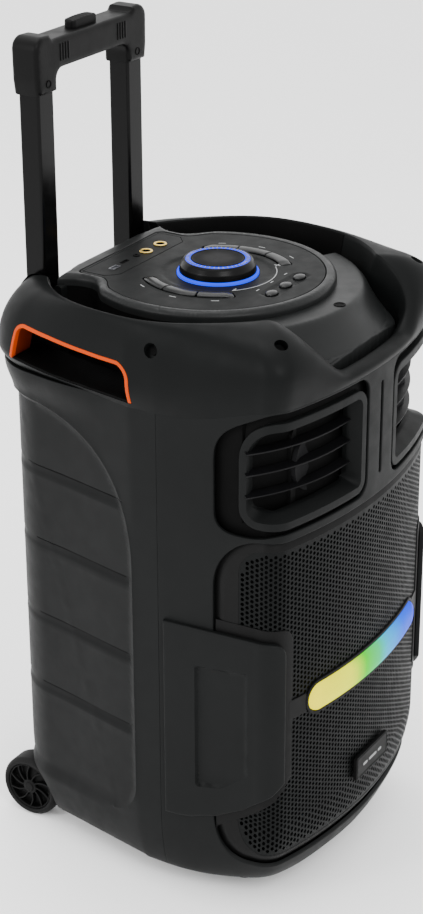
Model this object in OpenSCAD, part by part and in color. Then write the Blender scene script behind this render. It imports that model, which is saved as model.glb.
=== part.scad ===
// Trolley party speaker: a moulded cabinet with a perforated front, a ring-shaped
// rim with two hand slots, a lit volume knob, two wheels and a telescopic handle.
// Drawing coordinates: x to the right, y backwards from the front of the cabinet,
// z up from the floor. place() moves them so that the origin is under the middle.

/* [Cabinet] */
// Half of the widest width of the cabinet
half_w = 187; // [180:1:195]
// Distance from the front to the widest point of the cabinet
widest_y = 167; // [150:1:185]
// Depth of the cabinet
depth = 405; // [395:1:415]
// Radius of the two front corners
front_corner_r = 28; // [22:1:34]
// Radius of the two rear corners
rear_corner_r = 75; // [60:1:85]
// Thickness of the moulded walls
wall = 4; // [3:0.5:5]
// Height of the underside of the cabinet above the floor
base_z = 25; // [20:1:30]

/* [Rim] */
// Height of the rim's crest
rim_top_z = 696; // [692:1:700]
// Height of the front lip
lip_z = 634; // [630:1:640]
// How far the rim bulges outside the cabinet
rim_bulge = 9; // [6:1:12]

/* [Controls] */
// Height of the control panel
panel_z = 688; // [686:0.5:690]
// Radius of the round part of the control panel
panel_r = 124; // [118:1:128]
// Radius of the volume knob at its foot
knob_r = 41; // [38:0.5:43]

/* [Handle] */
// Distance between the two handle tubes
tube_spacing = 170; // [160:1:180]
// Side of each square handle tube
tube_side = 25; // [22:0.5:26]
// Travel of the handle
handle_travel = 225; // [150:1:225]
// Height of the top of the grip when the handle is out
grip_top_z = 940; // [935:1:945]

/* [Wheels] */
// Radius of each wheel
wheel_r = 38.3; // [36:0.1:38.3]
// Distance from the middle plane to the outer face of each wheel
wheel_outer_x = 140; // [136:1:144]
// Width of each wheel
wheel_w = 30; // [26:1:32]

/* [Loudspeakers] */
// Diameter of the woofer frame
woofer_d = 304; // [290:1:306]
// Height of the middle of the woofer
woofer_z = 266; // [262:1:270]

/* [Hidden] */
$fn = 64;
eps = 0.01;
gap = 0.3;

front_r = 540;
corner_c = [147, 49.6];
corner_a = 16.7;
rear_c = [half_w - 100, depth - rear_corner_r];
wheel_y = 389;
light_proud = 6;
mid_y = (wheel_y + wheel_r - light_proud) / 2;
far = 500;

black = [0.05, 0.05, 0.05];
charcoal = [0.2, 0.2, 0.2];
panel_grey = [0.24, 0.24, 0.24];
orange = [0.85, 0.45, 0.24];
glow_blue = [0.36, 0.5, 0.94];
gold = [0.85, 0.7, 0.35];
steel = [0.6, 0.6, 0.62];

// ---- points and curves ----
function arc(c, r, a0, a1, n) =
    [for (i = [0:n]) let (a = a0 + (a1 - a0) * i / n) c + r * [cos(a), sin(a)]];
function between(p, q, n) = [for (i = [1:n]) p + (q - p) * i / n];
function bezier(p0, p1, p2, p3, n) = [for (i = [1:n]) let (t = i / n, s = 1 - t)
    s * s * s * p0 + 3 * s * s * t * p1 + 3 * s * t * t * p2 + t * t * t * p3];
function flipped(pts) = [for (i = [len(pts) - 1:-1:0]) [-pts[i][0], pts[i][1]]];
function both_sides(half) = concat(half, flipped(half));
function smooth(t) = let (c = min(1, max(0, t))) c * c * (3 - 2 * c);
function unit(v) = v / norm(v);
function ellipse(c, rx, ry, n) = [for (i = [0:n - 1]) let (a = 360 * i / n) c + [rx * cos(a), ry * sin(a)]];
function rounded(x0, x1, y0, y1, r, n) = concat(arc([x1 - r, y1 - r], r, 0, 90, n),
    arc([x0 + r, y1 - r], r, 90, 180, n), arc([x0 + r, y0 + r], r, 180, 270, n),
    arc([x1 - r, y0 + r], r, 270, 360, n));
function sector(r0, r1, a0, a1, n) = let (inner = arc([0, 0], r0, a0, a1, n))
    concat(arc([0, 0], r1, a0, a1, n), [for (i = [n:-1:0]) inner[i]]);

// Right half of the cabinet's plan, moved outwards by off
function half_plan(off, n) = concat(
    [for (i = [1:n]) let (a = corner_a * i / n)
        [(front_r + off) * sin(a), front_r - (front_r + off) * cos(a)]],
    arc(corner_c, front_corner_r + off, corner_a - 90, 4, n),
    [[half_w + off, widest_y], [half_w + off, widest_y + 33]],
    arc(rear_c, rear_corner_r + off, 8, 90, n));

// ---- solids used by many parts ----
module place() {
    translate([0, -mid_y, 0]) children();
}

module mirrored() {
    children();
    mirror([1, 0, 0]) children();
}

// Profile in y and z, pushed along x; and profile in x and z, pushed along y
module along_x(x0, x1) {
    multmatrix([[0, 0, 1, x0], [1, 0, 0, 0], [0, 1, 0, 0], [0, 0, 0, 1]])
        linear_extrude(x1 - x0) children();
}

module along_y(y0, y1) {
    multmatrix([[1, 0, 0, 0], [0, 0, -1, y1], [0, 1, 0, 0], [0, 0, 0, 1]])
        linear_extrude(y1 - y0) children();
}

// Height of the joint between the rim and the cabinet at a distance y from the front
function rim_base(y) = 621 - 25 * smooth((y - 15) / 130);

tuck_z = 120;
tuck_front = 38;
tuck_side = 20;
tuck_rear = 30;
function tuck(run, n) = [for (i = [0:n]) let (a = 90 * i / n)
    [run * (1 - cos(a)), tuck_z - (tuck_z - base_z) * sin(a)]];

// The cabinet's outside from floor to rim, moved outwards by off
module envelope(off, top = 0, n = 8) {
    front = [for (p = tuck(tuck_front, n)) [p[0] - off, max(p[1] - off, base_z - off)]];
    side = [for (p = tuck(tuck_side, n)) [half_w + off - p[0], p[1]]];
    joint = [for (y = [160:-20:-20]) [y, rim_base(y) + top]];
    intersection() {
        translate([0, 0, base_z - off]) linear_extrude(700) polygon(both_sides(half_plan(off, n)));
        along_x(-far, far) polygon(concat(front, [[depth - tuck_rear, base_z - off],
            [depth + off, tuck_z + 10], [depth + off, rim_base(far) + top]], joint, [[-20, tuck_z]]));
        along_y(-far, far) polygon(concat([[half_w + off, 700]], side,
            flipped(side), [[-half_w - off, 700]]));
    }
}

module skin(outer, inner) {
    difference() {
        envelope(outer, -0.25);
        envelope(inner, 50);
    }
}

// ---- cabinet ----
seam = 0.1;
groove_z = [206, 297, 392, 483];
groove_h = 3;

function rib_panel(off) = concat([[far, 590], [312 - off, 579 + off]],
    bezier([312 - off, 579 + off], [262, 548], [204 - off, 500], [200 - off, 400], 8),
    [[200 - off, 150]], arc([240, 150], 40 + off, 180, 250, 5), [[far, 100]]);

module wheel_room(r, x_in) {
    mirrored() translate([x_in, wheel_y, wheel_r]) rotate([0, 90, 0]) cylinder(r = r, h = 120);
}

port_x = 0;
port_z = 420;
port_r = 36;
inlet_z = 120;

module rear_shell() {
    color(charcoal) place() difference() {
        skin(0, -wall);
        translate([-far, widest_y + seam - far, 0]) cube([2 * far, far, 2 * far]);
        translate([-far, 0, -far]) cube([2 * far, 2 * far, far + base_z + 6]);
        wheel_room(44, 104);
        difference() {
            intersection() {
                envelope(2, 2);
                along_x(-far, far) polygon(rib_panel(0));
            }
            envelope(-1.5, 4);
            translate([-rim_end, 0, 0]) cube([2 * rim_end, 2 * far, 2 * far]);
        }
        for (z = groove_z) difference() {
            translate([-far, 200, z - groove_h / 2]) cube([2 * far, far, groove_h]);
            envelope(-2.8, 4);
            translate([-rim_end, 0, 0]) cube([2 * rim_end, 2 * far, 2 * far]);
        }
        translate([port_x, depth + 1, port_z]) rotate([90, 0, 0]) cylinder(r = port_r + 5, h = 8);
        translate([0, depth + 1, inlet_z + 40]) rotate([90, 0, 0]) cylinder(r = 8, h = 10);
        translate([-rim_end, depth - 60, deck_z - 6.1]) cube([2 * rim_end, 100, 100]);
    }
}

// Zone of the grille opening, grown by off
module grille_zone(off) {
    along_x(-far, far) polygon(concat(arc([62, 104], 40 + off, -90, 0, 5),
        arc([62, 432], 40 + off, 0, 90, 5), [[-40, 472 + off], [-40, 64 - off]]));
}

// Zone of the two front windows, grown by off
module window_zone(off, round_r = 14) {
    intersection() {
        along_x(-far, far) polygon(rounded(-60, 73 + off, 481 - off, 600 + off, round_r + off, 5));
        mirrored() along_y(-60, 110)
            polygon(rounded(30 - off, 260, 481 - off, 600 + off, round_r + off, 5));
    }
}

module front_shell() {
    color(charcoal) place() {
        difference() {
            skin(0, -wall);
            translate([-far, widest_y - seam, 0]) cube([2 * far, far, 2 * far]);
            translate([-far, -far, 0]) cube([2 * far, 2 * far, base_z + 6]);
            grille_zone(8);
            window_zone(8);
            translate([-2, -5, 496]) cube([4, 7, 107]);
        }
        difference() {
            intersection() {
                skin(-wall, -wall - 3);
                window_zone(14);
            }
            window_zone(-1);
            grille_zone(1);
        }
        difference() {
            intersection() {
                skin(-wall - 4, -wall - 7);
                grille_zone(16);
                translate([-far, -10, base_z + 7]) cube([2 * far, widest_y, 2 * far]);
            }
            grille_zone(-12);
            window_zone(14.5);
        }
    }
}

module base_plate() {
    well_r = 44;
    color(black) place() difference() {
        union() {
            intersection() {
                envelope(0);
                translate([-far, -10, base_z]) cube([2 * far, 2 * far, 5.9]);
            }
            mirrored() intersection() {
                difference() {
                    translate([100, wheel_y, wheel_r]) rotate([0, 90, 0]) cylinder(r = well_r + 4, h = 50);
                    translate([104, wheel_y, wheel_r]) rotate([0, 90, 0]) cylinder(r = well_r, h = 60);
                }
                envelope(-wall - 1);
            }
        }
        wheel_room(well_r, 104);
        translate([0, wheel_y, wheel_r]) rotate([0, 90, 0]) cylinder(r = axle_r + 0.02, h = far, center = true);
        mirrored() translate([foot_x, foot_y, 0]) cylinder(r = 3, h = far);
        translate([-far, depth - 8, 0]) cube([2 * far, far, wheel_r - 12]);
    }
}

baffle_y = 40;
baffle_t = 10;
tweeter_x = 92;
tweeter_z = 540;
tweeter_hole_r = 31;
frame_hole_r = woofer_d / 2 - 15;

module baffle() {
    color([0.12, 0.12, 0.12]) place() difference() {
        along_y(baffle_y, baffle_y + baffle_t) union() {
            polygon(rounded(-158, 158, 78, 470, 20, 4));
            polygon(rounded(-126, 126, 440, 585, 12, 4));
        }
        translate([0, 100, woofer_z]) rotate([90, 0, 0]) cylinder(r = frame_hole_r, h = 120, $fn = 96);
        mirrored() translate([tweeter_x, 100, tweeter_z]) rotate([90, 0, 0])
            cylinder(r = tweeter_hole_r, h = 120);
    }
}

light_x = 124;
light_r = 16.5;
light_z = 266;
module pill(off) {
    along_y(-30, 60) polygon(rounded(-light_x - off, light_x + off, light_z - light_r - off,
        light_z + light_r + off, light_r + off - eps, 8));
}

module grille() {
    color([0.08, 0.08, 0.08]) place() difference() {
        intersection() {
            skin(-1.5, -3.5);
            grille_zone(-12);
            translate([-far, -20, base_z + 8]) cube([2 * far, far, far]);
        }
        pill(gap);
    }
}

module grille_frame() {
    color(black) place() difference() {
        intersection() {
            skin(0, -6);
            grille_zone(0);
            translate([-far, -20, base_z + 8]) cube([2 * far, far, far]);
        }
        grille_zone(-12);
    }
}

module light_band() {
    color([0.5, 0.85, 0.4]) place() intersection() {
        skin(light_proud, -3);
        pill(0);
    }
}

module light_bezel() {
    color(black) place() difference() {
        intersection() {
            skin(2.5, -1.4);
            pill(4);
        }
        pill(gap);
    }
}

module badge() {
    color([0.15, 0.15, 0.15]) place()
        along_y(-2.5, 1.6) polygon(rounded(-38, 38, 121, 151, 3, 4));
}

window_depth = 24;
module window_frames() {
    color(charcoal) place() difference() {
        intersection() {
            skin(0, -window_depth);
            window_zone(-1.2);
        }
        window_zone(-10);
    }
}

blade_z = [505, 527, 549, 571];
module louvres() {
    color([0.14, 0.14, 0.14]) place() intersection() {
        skin(-5, -16);
        window_zone(-10);
        union() {
            for (z = blade_z) translate([-far, -20, z]) cube([2 * far, far, 2.5]);
        }
    }
}

// ---- loudspeakers, turned about an axis that runs from front to back ----
module turned(x, z) {
    translate([x, 0, z]) rotate([-90, 0, 0]) rotate_extrude($fn = 96) children();
}

module tweeters() {
    color(black) place() mirrored() turned(tweeter_x, tweeter_z) polygon([[0, 37], [9, 34.5],
        [22, 36], [34, 35], [34, 39.9], [30.7, 39.9], [30.7, 62], [36, 62], [36, 78], [0, 78]]);
}

frame_r = woofer_d / 2;
coil_r = 25;
magnet_y = 118;

module woofer_frame() {
    color(black) place() difference() {
        turned(0, woofer_z) polygon([[131, 34], [frame_r, 34], [frame_r, 39.9],
            [frame_hole_r - 0.5, 39.9], [frame_hole_r - 3, 62], [74, magnet_y], [40, magnet_y],
            [40, magnet_y - 3], [72, magnet_y - 3], [131, 58]]);
        for (a = [0:60:300]) translate([0, 0, woofer_z]) rotate([0, a + 30, 0])
            translate([88, 60, -28]) cube([30, 60, 56]);
    }
}

module woofer_magnet() {
    color([0.3, 0.3, 0.32]) place() turned(0, woofer_z) polygon([[coil_r + 2, magnet_y],
        [70, magnet_y], [70, magnet_y + 34], [0, magnet_y + 34], [0, magnet_y + 2],
        [coil_r - 2, magnet_y + 2], [coil_r - 2, magnet_y + 26], [coil_r + 2, magnet_y + 26]]);
}

cone_r = 118;
module woofer_surround() {
    color(black) place() turned(0, woofer_z) polygon(concat([[131, 42]],
        arc([124.65, 42], 4.8, 0, -180, 8), [[cone_r + gap, 42], [cone_r + gap, 40]],
        arc([124.65, 40], 6, -180, 0, 8), [[131, 40]]));
}

module woofer_cone() {
    color([0.1, 0.1, 0.1]) place() turned(0, woofer_z) polygon([[cone_r, 42], [cone_r - 3, 42],
        [coil_r + 4, 92], [coil_r, 88], [0, 82], [0, 84], [coil_r - 1, 90],
        [coil_r - 1, magnet_y + 16], [coil_r + 0.5, magnet_y + 16], [coil_r + 0.5, 96],
        [cone_r, 44.5]]);
}

// ---- corner pads ----
module pad_zone(off) {
    along_x(-far, far) polygon(concat(arc([36, 342], 15 + off, 180, 90, 3),
        [[160 + off, 357 + off], [160 + off, 117 - off], [141, 118 - off]],
        bezier([141, 118 - off], [90, 124 - off], [40, 150 - off], [21 - off, 188], 5)));
}

module side_pad() {
    color([0.17, 0.17, 0.17]) place() difference() {
        intersection() {
            skin(5, 0);
            pad_zone(0);
            translate([100, 0, 0]) cube([200, 170, 500]);
        }
        difference() {
            intersection() {
                along_x(0, far) polygon([[55, 319], [118, 319], [118, 157], [55, 184]]);
                envelope(8);
            }
            envelope(2.5, 50);
        }
    }
}

module side_pad_right() {
    side_pad();
}

module side_pad_left() {
    mirror([1, 0, 0]) side_pad();
}

// ---- rim: its crest is a circle that leaves the cabinet's plan at the front ----
rim_end = 108;
rim_c = [0, 210];
crest_r = 183;
lip_in = 10;

rim_half = concat(
    [for (i = [1:14]) let (a = corner_a * i / 14) [front_r * sin(a), front_r * (1 - cos(a))]],
    arc(corner_c, front_corner_r, corner_a - 80, 4, 6),
    between([corner_c[0] + front_corner_r, corner_c[1] + 2], [half_w, widest_y], 7),
    between([half_w, widest_y], [half_w, widest_y + 33], 2),
    between([half_w, widest_y + 33], rear_c + rear_corner_r * [cos(8), sin(8)], 8),
    arc(rear_c, rear_corner_r, 14, 84, 8));
rim_path = concat(flipped(rim_half), rim_half);

// Angle round the rim, 0 at the front and 180 at the rear
function around(p) = atan2(abs(p[0]), rim_c[1] - p[1]);
function crest_z(p) = lip_z + (rim_top_z - lip_z) * smooth((around(p) - 17) / 24);
function crest_o(p) = let (r = norm(p - rim_c))
    -lip_in + (crest_r - r + lip_in) * smooth((around(p) - 24) / 18);
function bulge(p) = 2 + (rim_bulge - 2) * smooth((abs(p[0]) - 90) / 90);

function rim_section(p, grow) = let (zb = rim_base(p[1]), h = crest_z(p) - zb,
    b = bulge(p), c = crest_o(p), u = unit(p - rim_c))
    [for (q = concat([[0, 0], [b * 0.6, 0.16], [b * 0.95, 0.33]],
        [for (a = [0:18:90]) [c + (b - c) * cos(a), 0.45 + 0.55 * sin(a)]],
        [[c - 4, 0.95], [c - 10, 0.5], [c - 12, 0]]))
        let (xy = p + u * (q[0] + grow)) [xy[0], xy[1], zb + h * q[1]]];

module rim_solid(grow = 0) {
    m = 12;
    n = len(rim_path);
    pts = [for (p = rim_path) each rim_section(p, grow)];
    walls = [for (i = [0:n - 2], j = [0:m - 1]) let (a = i * m + j, b = i * m + (j + 1) % m)
        each [[a, a + m, b], [b, a + m, b + m]]];
    ends = [[for (j = [0:m - 1]) j], [for (j = [m - 1:-1:0]) (n - 1) * m + j]];
    difference() {
        polyhedron(points = pts, faces = concat(walls, ends));
        translate([-rim_end, 330, 500]) cube([2 * rim_end, 200, far]);
    }
}

function slot_arch(off) = concat(arc([222, 624], 22 + off, 180, 120, 4),
    [[284, 650 + off]], arc([334, 640], 18 + off, 95, 0, 4));
function slot_shape(off) = concat(slot_arch(off),
    [[352 + off, 618 - off], [309, 608 - off], [258, 603 - off], [200 - off, 602 - off]]);

// Frames for the four rim screws: a hole's mouth is at the origin and it opens along z
module at_rim_screws() {
    mirrored() {
        translate([192, 168, 668]) rotate([0, 60, 0]) children();
        translate([150, 40, 684]) rotate([0, 0, -50]) rotate([0, 40, 0]) children();
    }
}

module rim_ring() {
    color(charcoal) place() difference() {
        rim_solid();
        mirrored() along_x(100, far) polygon(slot_shape(0));
        at_rim_screws() {
            translate([0, 0, -9]) cylinder(r = 6.5, h = 40);
            translate([0, 0, -40]) cylinder(r = 2.1, h = 40);
        }
    }
}

module slot_trims() {
    color(orange) place() intersection() {
        rim_solid(0.4);
        mirrored() difference() {
            along_x(120, 300) polygon(slot_shape(0));
            along_x(119, 301) polygon(concat([[204, 580]], slot_arch(-4), [[348, 580]]));
        }
    }
}

// Line just above the bottom of a hand slot
function mat_line(up, order = [0, 1, 2, 3]) = let (p = [[204.2, 602], [258, 603], [309, 608], [345.8, 616.6]])
    [for (i = order) [p[i][0], p[i][1] + up]];

module grip_mats() {
    color(black) place() difference() {
        union() {
            mirrored() intersection() {
                translate([0, 0, 590]) linear_extrude(40) polygon(both_sides(half_plan(-3, 8)));
                along_x(100, 200) polygon(concat(mat_line(0.2), mat_line(2.2, [3, 2, 1, 0])));
            }
            intersection() {
                translate([rim_c[0], rim_c[1], deck_z]) cylinder(r = crest_r - 16, h = 604 - deck_z, $fn = 96);
                mirrored() translate([100, 204, 590]) cube([100, 144, 20]);
            }
        }
        translate([0, 0, 590]) linear_extrude(30) polygon(both_sides(island_half(1)));
        translate([-rim_end, 320, 590]) cube([2 * rim_end, 100, 30]);
    }
}

// ---- top deck and controls ----
ctrl_c = [0, 212];
knob_c = [0, 205];
neck_x = 82;
panel_back = 335;
deck_back = 352;

function panel_half(off) = let (r = panel_r + off, a = 30, p = ctrl_c + r * [cos(a), sin(a)])
    concat(arc(ctrl_c, r, -88, a, 16),
        bezier(p, p + 14 * [-0.5, 0.87], [neck_x + off, 290], [neck_x + off, 304], 5),
        [[neck_x + off, panel_back + off]]);
function island_half(off) = let (r = panel_r + 12 + off, a = 28, p = ctrl_c + r * [cos(a), sin(a)])
    concat(arc(ctrl_c, r, -88, a, 16),
        bezier(p, p + 16 * [-0.5, 0.87], [neck_x + 9 + off, 296], [neck_x + 9 + off, 314], 5),
        bezier([neck_x + 9 + off, 314], [neck_x + 9 + off, 326], [neck_x + 12 + off, 336],
            [neck_x + 22 + off, 346], 3),
        [[60, deck_back + off]]);

island_top = 676;
ledge_z = 678;
deck_z = 596;

ledge_r = 168;
ledge_half_angle = 64;

// The deck's inside edge, moved inwards by extra at the front corners
function tray_plan(extra) = [for (p = rim_half) if (around(p) < ledge_half_angle)
    let (u = unit(p - rim_c)) p + u * (crest_o(p) - 13 - extra * smooth((around(p) - 22) / 14))];

// Ledge and sloping tray, down by drop
module ledge_and_tray(drop, inset) {
    e = tray_plan(8 + inset);
    intersection() {
        translate([ctrl_c[0], ctrl_c[1], -drop]) rotate_extrude($fn = 96) polygon([[100, deck_z - 6],
            [100, ledge_z], [ledge_r - 4, ledge_z], [ledge_r, ledge_z - 3], [174, 664], [182, 652],
            [200, 636], [222, 628], [240, 624], [240, 607], [186, 602], [172, deck_z - 6]]);
        linear_extrude(2 * far) polygon(concat([rim_c], flipped(e), e));
    }
}

module top_deck() {
    color([0.17, 0.17, 0.17]) place() difference() {
        union() {
            difference() {
                translate([0, 0, deck_z - 6]) linear_extrude(6) polygon(both_sides(half_plan(-wall - 0.5, 8)));
                translate([-far, -far, 0]) cube([2 * far, far + 104, far * 2]);
            }
            translate([0, 0, deck_z - 6]) linear_extrude(island_top - deck_z + 6) polygon(both_sides(island_half(0)));
            ledge_and_tray(0, 0);
            intersection() {
                translate([-rim_end + 0.5, 330, deck_z - 6]) cube([2 * rim_end - 1, depth - 330 - 0.5, 90]);
                along_x(-far, far) polygon([[320, 500], [320, island_top], [346, island_top],
                    [354, 668], [359, 652], [364, 648], [depth - 4, 646], [depth - 0.5, 640],
                    [depth - 0.5, 500]]);
            }
        }
        translate([0, 0, deck_z - 7]) linear_extrude(island_top - deck_z + 20) polygon(both_sides(island_half(-wall)));
        ledge_and_tray(4, 4);
        translate([0, 0, island_top]) linear_extrude(20) polygon(both_sides(island_half(gap)));
        mirrored() translate([tube_spacing / 2, tube_y, 0]) cube([sleeve_side + 0.2, sleeve_side + 0.2, 3 * far], center = true);
        translate([0, 54, ledge_z - 14]) cylinder(r = 4.5, h = 30);
    }
}

module panel_bezel() {
    color([0.25, 0.25, 0.25]) place() difference() {
        union() {
            translate([0, 0, island_top]) linear_extrude(8) polygon(both_sides(island_half(0)));
            translate([0, 0, island_top]) linear_extrude(11) polygon(both_sides(island_half(-2)));
            translate([0, 0, island_top]) linear_extrude(13) polygon(both_sides(island_half(-5)));
        }
        translate([0, 0, island_top - 1]) linear_extrude(30) polygon(both_sides(panel_half(0.2)));
    }
}

arc_r0 = 71;
arc_r1 = 84;
arc_from = 137;
arc_step = 29;
oval_y = 120;
oval_step = 30;
plate_y0 = 290;
plate_y1 = 331;
usb_x = -49;
card_x = -27;
aux_x = -3;
mic_x = [14, 43];
ports_y = 308;

module knob_at(z) {
    translate([knob_c[0], knob_c[1], z]) children();
}

module control_panel() {
    color(panel_grey) place() difference() {
        translate([0, 0, panel_z - 3]) linear_extrude(3) polygon(both_sides(panel_half(0)));
        knob_at(panel_z - 5) cylinder(r = 45.2, h = 10);
        mirrored() knob_at(panel_z - 5) linear_extrude(10)
            polygon(sector(arc_r0 - gap, arc_r1 + gap, arc_from - 0.4, arc_from + 3 * arc_step - 0.2, 24));
        for (i = [-1:1]) translate([i * oval_step, oval_y, panel_z - 5])
            linear_extrude(10) polygon(ellipse([0, 0], 8.5 + gap, 6 + gap, 24));
        translate([-77 - 0.2, plate_y0 - 0.2, panel_z - 5]) cube([154.4, plate_y1 - plate_y0 + 0.4, 10]);
    }
}

module connector_plate() {
    color([0.18, 0.18, 0.18]) place() difference() {
        translate([-77, plate_y0, panel_z - 3]) cube([154, plate_y1 - plate_y0, 3.2]);
        translate([usb_x, ports_y, panel_z]) cube([14.2, 7.2, 20], center = true);
        translate([card_x, ports_y + 2, panel_z]) cube([13.2, 4.2, 20], center = true);
        translate([aux_x, ports_y + 2, panel_z - 5]) cylinder(r = 4.1, h = 10);
        for (x = mic_x) translate([x, ports_y, panel_z - 5]) cylinder(r = 6.1, h = 10);
    }
}

module socket(w, d, depth_in, rim) {
    difference() {
        translate([-w / 2, -d / 2, -depth_in]) cube([w, d, depth_in + 0.6]);
        translate([-w / 2 + rim, -d / 2 + rim, -depth_in + 1]) cube([w - 2 * rim, d - 2 * rim, depth_in + 5]);
    }
}

module usb_port() {
    color(steel) place() translate([usb_x, ports_y, panel_z]) {
        socket(14, 7, 12, 0.9);
        translate([-5.5, 0.3, -11]) cube([11, 1.8, 10]);
    }
}

module card_slot() {
    color(black) place() translate([card_x, ports_y + 2, panel_z]) socket(13, 4, 12, 0.8);
}

module jack(r_out, r_in, length, flange) {
    difference() {
        union() {
            translate([0, 0, -length]) cylinder(r = r_out, h = length + 0.2);
            translate([0, 0, 0.2]) cylinder(r = flange, h = 0.8);
        }
        translate([0, 0, -length + 1.5]) cylinder(r = r_in, h = length + 5);
    }
}

module aux_jack() {
    color(black) place() translate([aux_x, ports_y + 2, panel_z]) jack(4, 1.8, 13, 4);
}

module mic_jacks() {
    color(gold) place() for (x = mic_x) translate([x, ports_y, panel_z]) jack(6, 3.25, 15, 7.4);
}

module knob_light() {
    color(glow_blue) place() knob_at(panel_z - 4) difference() {
        cylinder(r = 45, h = 6);
        translate([0, 0, -1]) cylinder(r = 36, h = 10);
        translate([0, 0, 4]) cylinder(r = knob_r + gap, h = 10);
    }
}

shaft_r = 3;
board_z = 668;

module volume_encoder() {
    color(steel) place() knob_at(board_z + 2) difference() {
        cylinder(r = 8, h = 12);
        translate([0, 0, 2]) cylinder(r = shaft_r + 0.05, h = 20);
    }
}

module knob_body() {
    color(black) place() knob_at(0) {
        translate([0, 0, board_z + 4.5]) cylinder(r = shaft_r, h = 22);
        translate([0, 0, panel_z]) rotate_extrude($fn = 96) polygon([[0, 1.2], [knob_r - 4, 1.2],
            [knob_r, 2.4], [knob_r, 9], [knob_r - 2, 13], [knob_r - 4.8, 15], [36, 15.4],
            [35.4, 14], [31, 14], [31, 13], [0, 13]]);
    }
}

module knob_disc() {
    color([0.45, 0.45, 0.45]) place() knob_at(panel_z + 13) difference() {
        cylinder(r = 30, h = 3);
        translate([0, 0, 2.2]) cylinder(r = 28.6, h = 3);
    }
}

module knob_glow_ring() {
    color(glow_blue) place() knob_at(panel_z + 14) difference() {
        cylinder(r = 35.3, h = 1.4);
        translate([0, 0, -1]) cylinder(r = 31.2, h = 4);
    }
}

module arc_button(i) {
    a = arc_from + arc_step * (i % 3) + 0.6;
    color(black) place() mirror([i < 3 ? 0 : 1, 0, 0]) knob_at(panel_z - 5) {
        linear_extrude(6.6) polygon(sector(arc_r0, arc_r1, a, a + arc_step - 1.2, 8));
        linear_extrude(8) polygon(sector(arc_r0 + 2, arc_r1 - 2, a + 1.4, a + arc_step - 2.6, 8));
        translate([0, 0, -11.5]) rotate([0, 0, a + arc_step / 2]) translate([(arc_r0 + arc_r1) / 2, 0, 0])
            cylinder(r = 3, h = 12);
    }
}

module arc_button_1() { arc_button(0); }
module arc_button_2() { arc_button(1); }
module arc_button_3() { arc_button(2); }
module arc_button_4() { arc_button(3); }
module arc_button_5() { arc_button(4); }
module arc_button_6() { arc_button(5); }

module round_button(i) {
    color(black) place() translate([(i - 1) * oval_step, oval_y, panel_z - 5]) {
        linear_extrude(6.4) polygon(ellipse([0, 0], 8.5, 6, 24));
        linear_extrude(7.6) polygon(ellipse([0, 0], 6.6, 4.2, 24));
        translate([0, 0, -11.5]) cylinder(r = 2.5, h = 12);
    }
}

module round_button_1() { round_button(0); }
module round_button_2() { round_button(1); }
module round_button_3() { round_button(2); }

module control_board() {
    color([0.05, 0.25, 0.12]) place() {
        difference() {
            translate([0, 0, board_z]) linear_extrude(1.8) polygon(both_sides(panel_half(-4)));
            for (x = [card_x, aux_x, usb_x, mic_x[0], mic_x[1]])
                translate([x, ports_y + 1, board_z]) cube([18, 18, 20], center = true);
        }
        mirrored() for (y = [150, 212, 262]) translate([100, y, board_z + 1]) cylinder(r = 3, h = panel_z - board_z - 4);
    }
}

// ---- handle ----
tube_y = 379;
tube_wall = 1.5;
sleeve_side = tube_side + 5.4;
sleeve_in = tube_side + 2 * gap;
tube_bottom = 500;
grip_bottom = 882;
pin_z = 530;
pin_r = 3.5;
bar_z = 916;
rod_r = 2.5;

module at_tubes() {
    for (s = [-1, 1]) translate([s * tube_spacing / 2, tube_y, 0]) children();
}

module handle_sleeves() {
    low = tube_bottom - handle_travel - 12;
    color([0.15, 0.15, 0.15]) place() difference() {
        at_tubes() translate([-sleeve_side / 2, -sleeve_side / 2, low]) cube([sleeve_side, sleeve_side, 656 - low]);
        at_tubes() translate([-sleeve_in / 2, -sleeve_in / 2, low + 4]) cube([sleeve_in, sleeve_in, far]);
        mirrored() translate([tube_spacing / 2 + 5, tube_y - 4, pin_z - handle_travel - 4])
            cube([40, 8, handle_travel + 8]);
    }
}

module handle_tubes() {
    color(black) place() difference() {
        at_tubes() translate([-tube_side / 2, -tube_side / 2, tube_bottom]) cube([tube_side, tube_side, 892 - tube_bottom]);
        at_tubes() translate([-tube_side / 2 + tube_wall, -tube_side / 2 + tube_wall, 0])
            cube([tube_side - 2 * tube_wall, tube_side - 2 * tube_wall, 3 * far]);
        mirrored() translate([tube_spacing / 2, tube_y, pin_z]) rotate([0, 90, 0]) cylinder(r = pin_r + 0.3, h = 30);
    }
}

module handle_grip() {
    half_x = tube_spacing / 2 + 20;
    color([0.08, 0.08, 0.08]) place() difference() {
        along_y(tube_y - 17, tube_y + 17) polygon(concat(
            arc([half_x - 12, grip_top_z - 12], 12, 0, 90, 5), arc([-half_x + 12, grip_top_z - 12], 12, 90, 180, 5),
            [[-half_x + 2, grip_bottom], [-half_x + 37, grip_bottom]],
            arc([-half_x + 49, 893], 12, 180, 90, 4), arc([half_x - 49, 893], 12, 90, 0, 4),
            [[half_x - 37, grip_bottom], [half_x - 2, grip_bottom]]));
        at_tubes() translate([-tube_side / 2, -tube_side / 2, 800]) cube([tube_side, tube_side, 92]);
        at_tubes() translate([0, 0, 880]) cylinder(r = 6, h = 40);
        translate([-tube_spacing / 2 - 8, tube_y - 7, bar_z - 6]) cube([tube_spacing + 16, 14, 14]);
        translate([0, tube_y, 917]) linear_extrude(40) polygon(rounded(-23.4, 23.4, -7.9, 7.9, 7.8, 6));
    }
}

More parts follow.
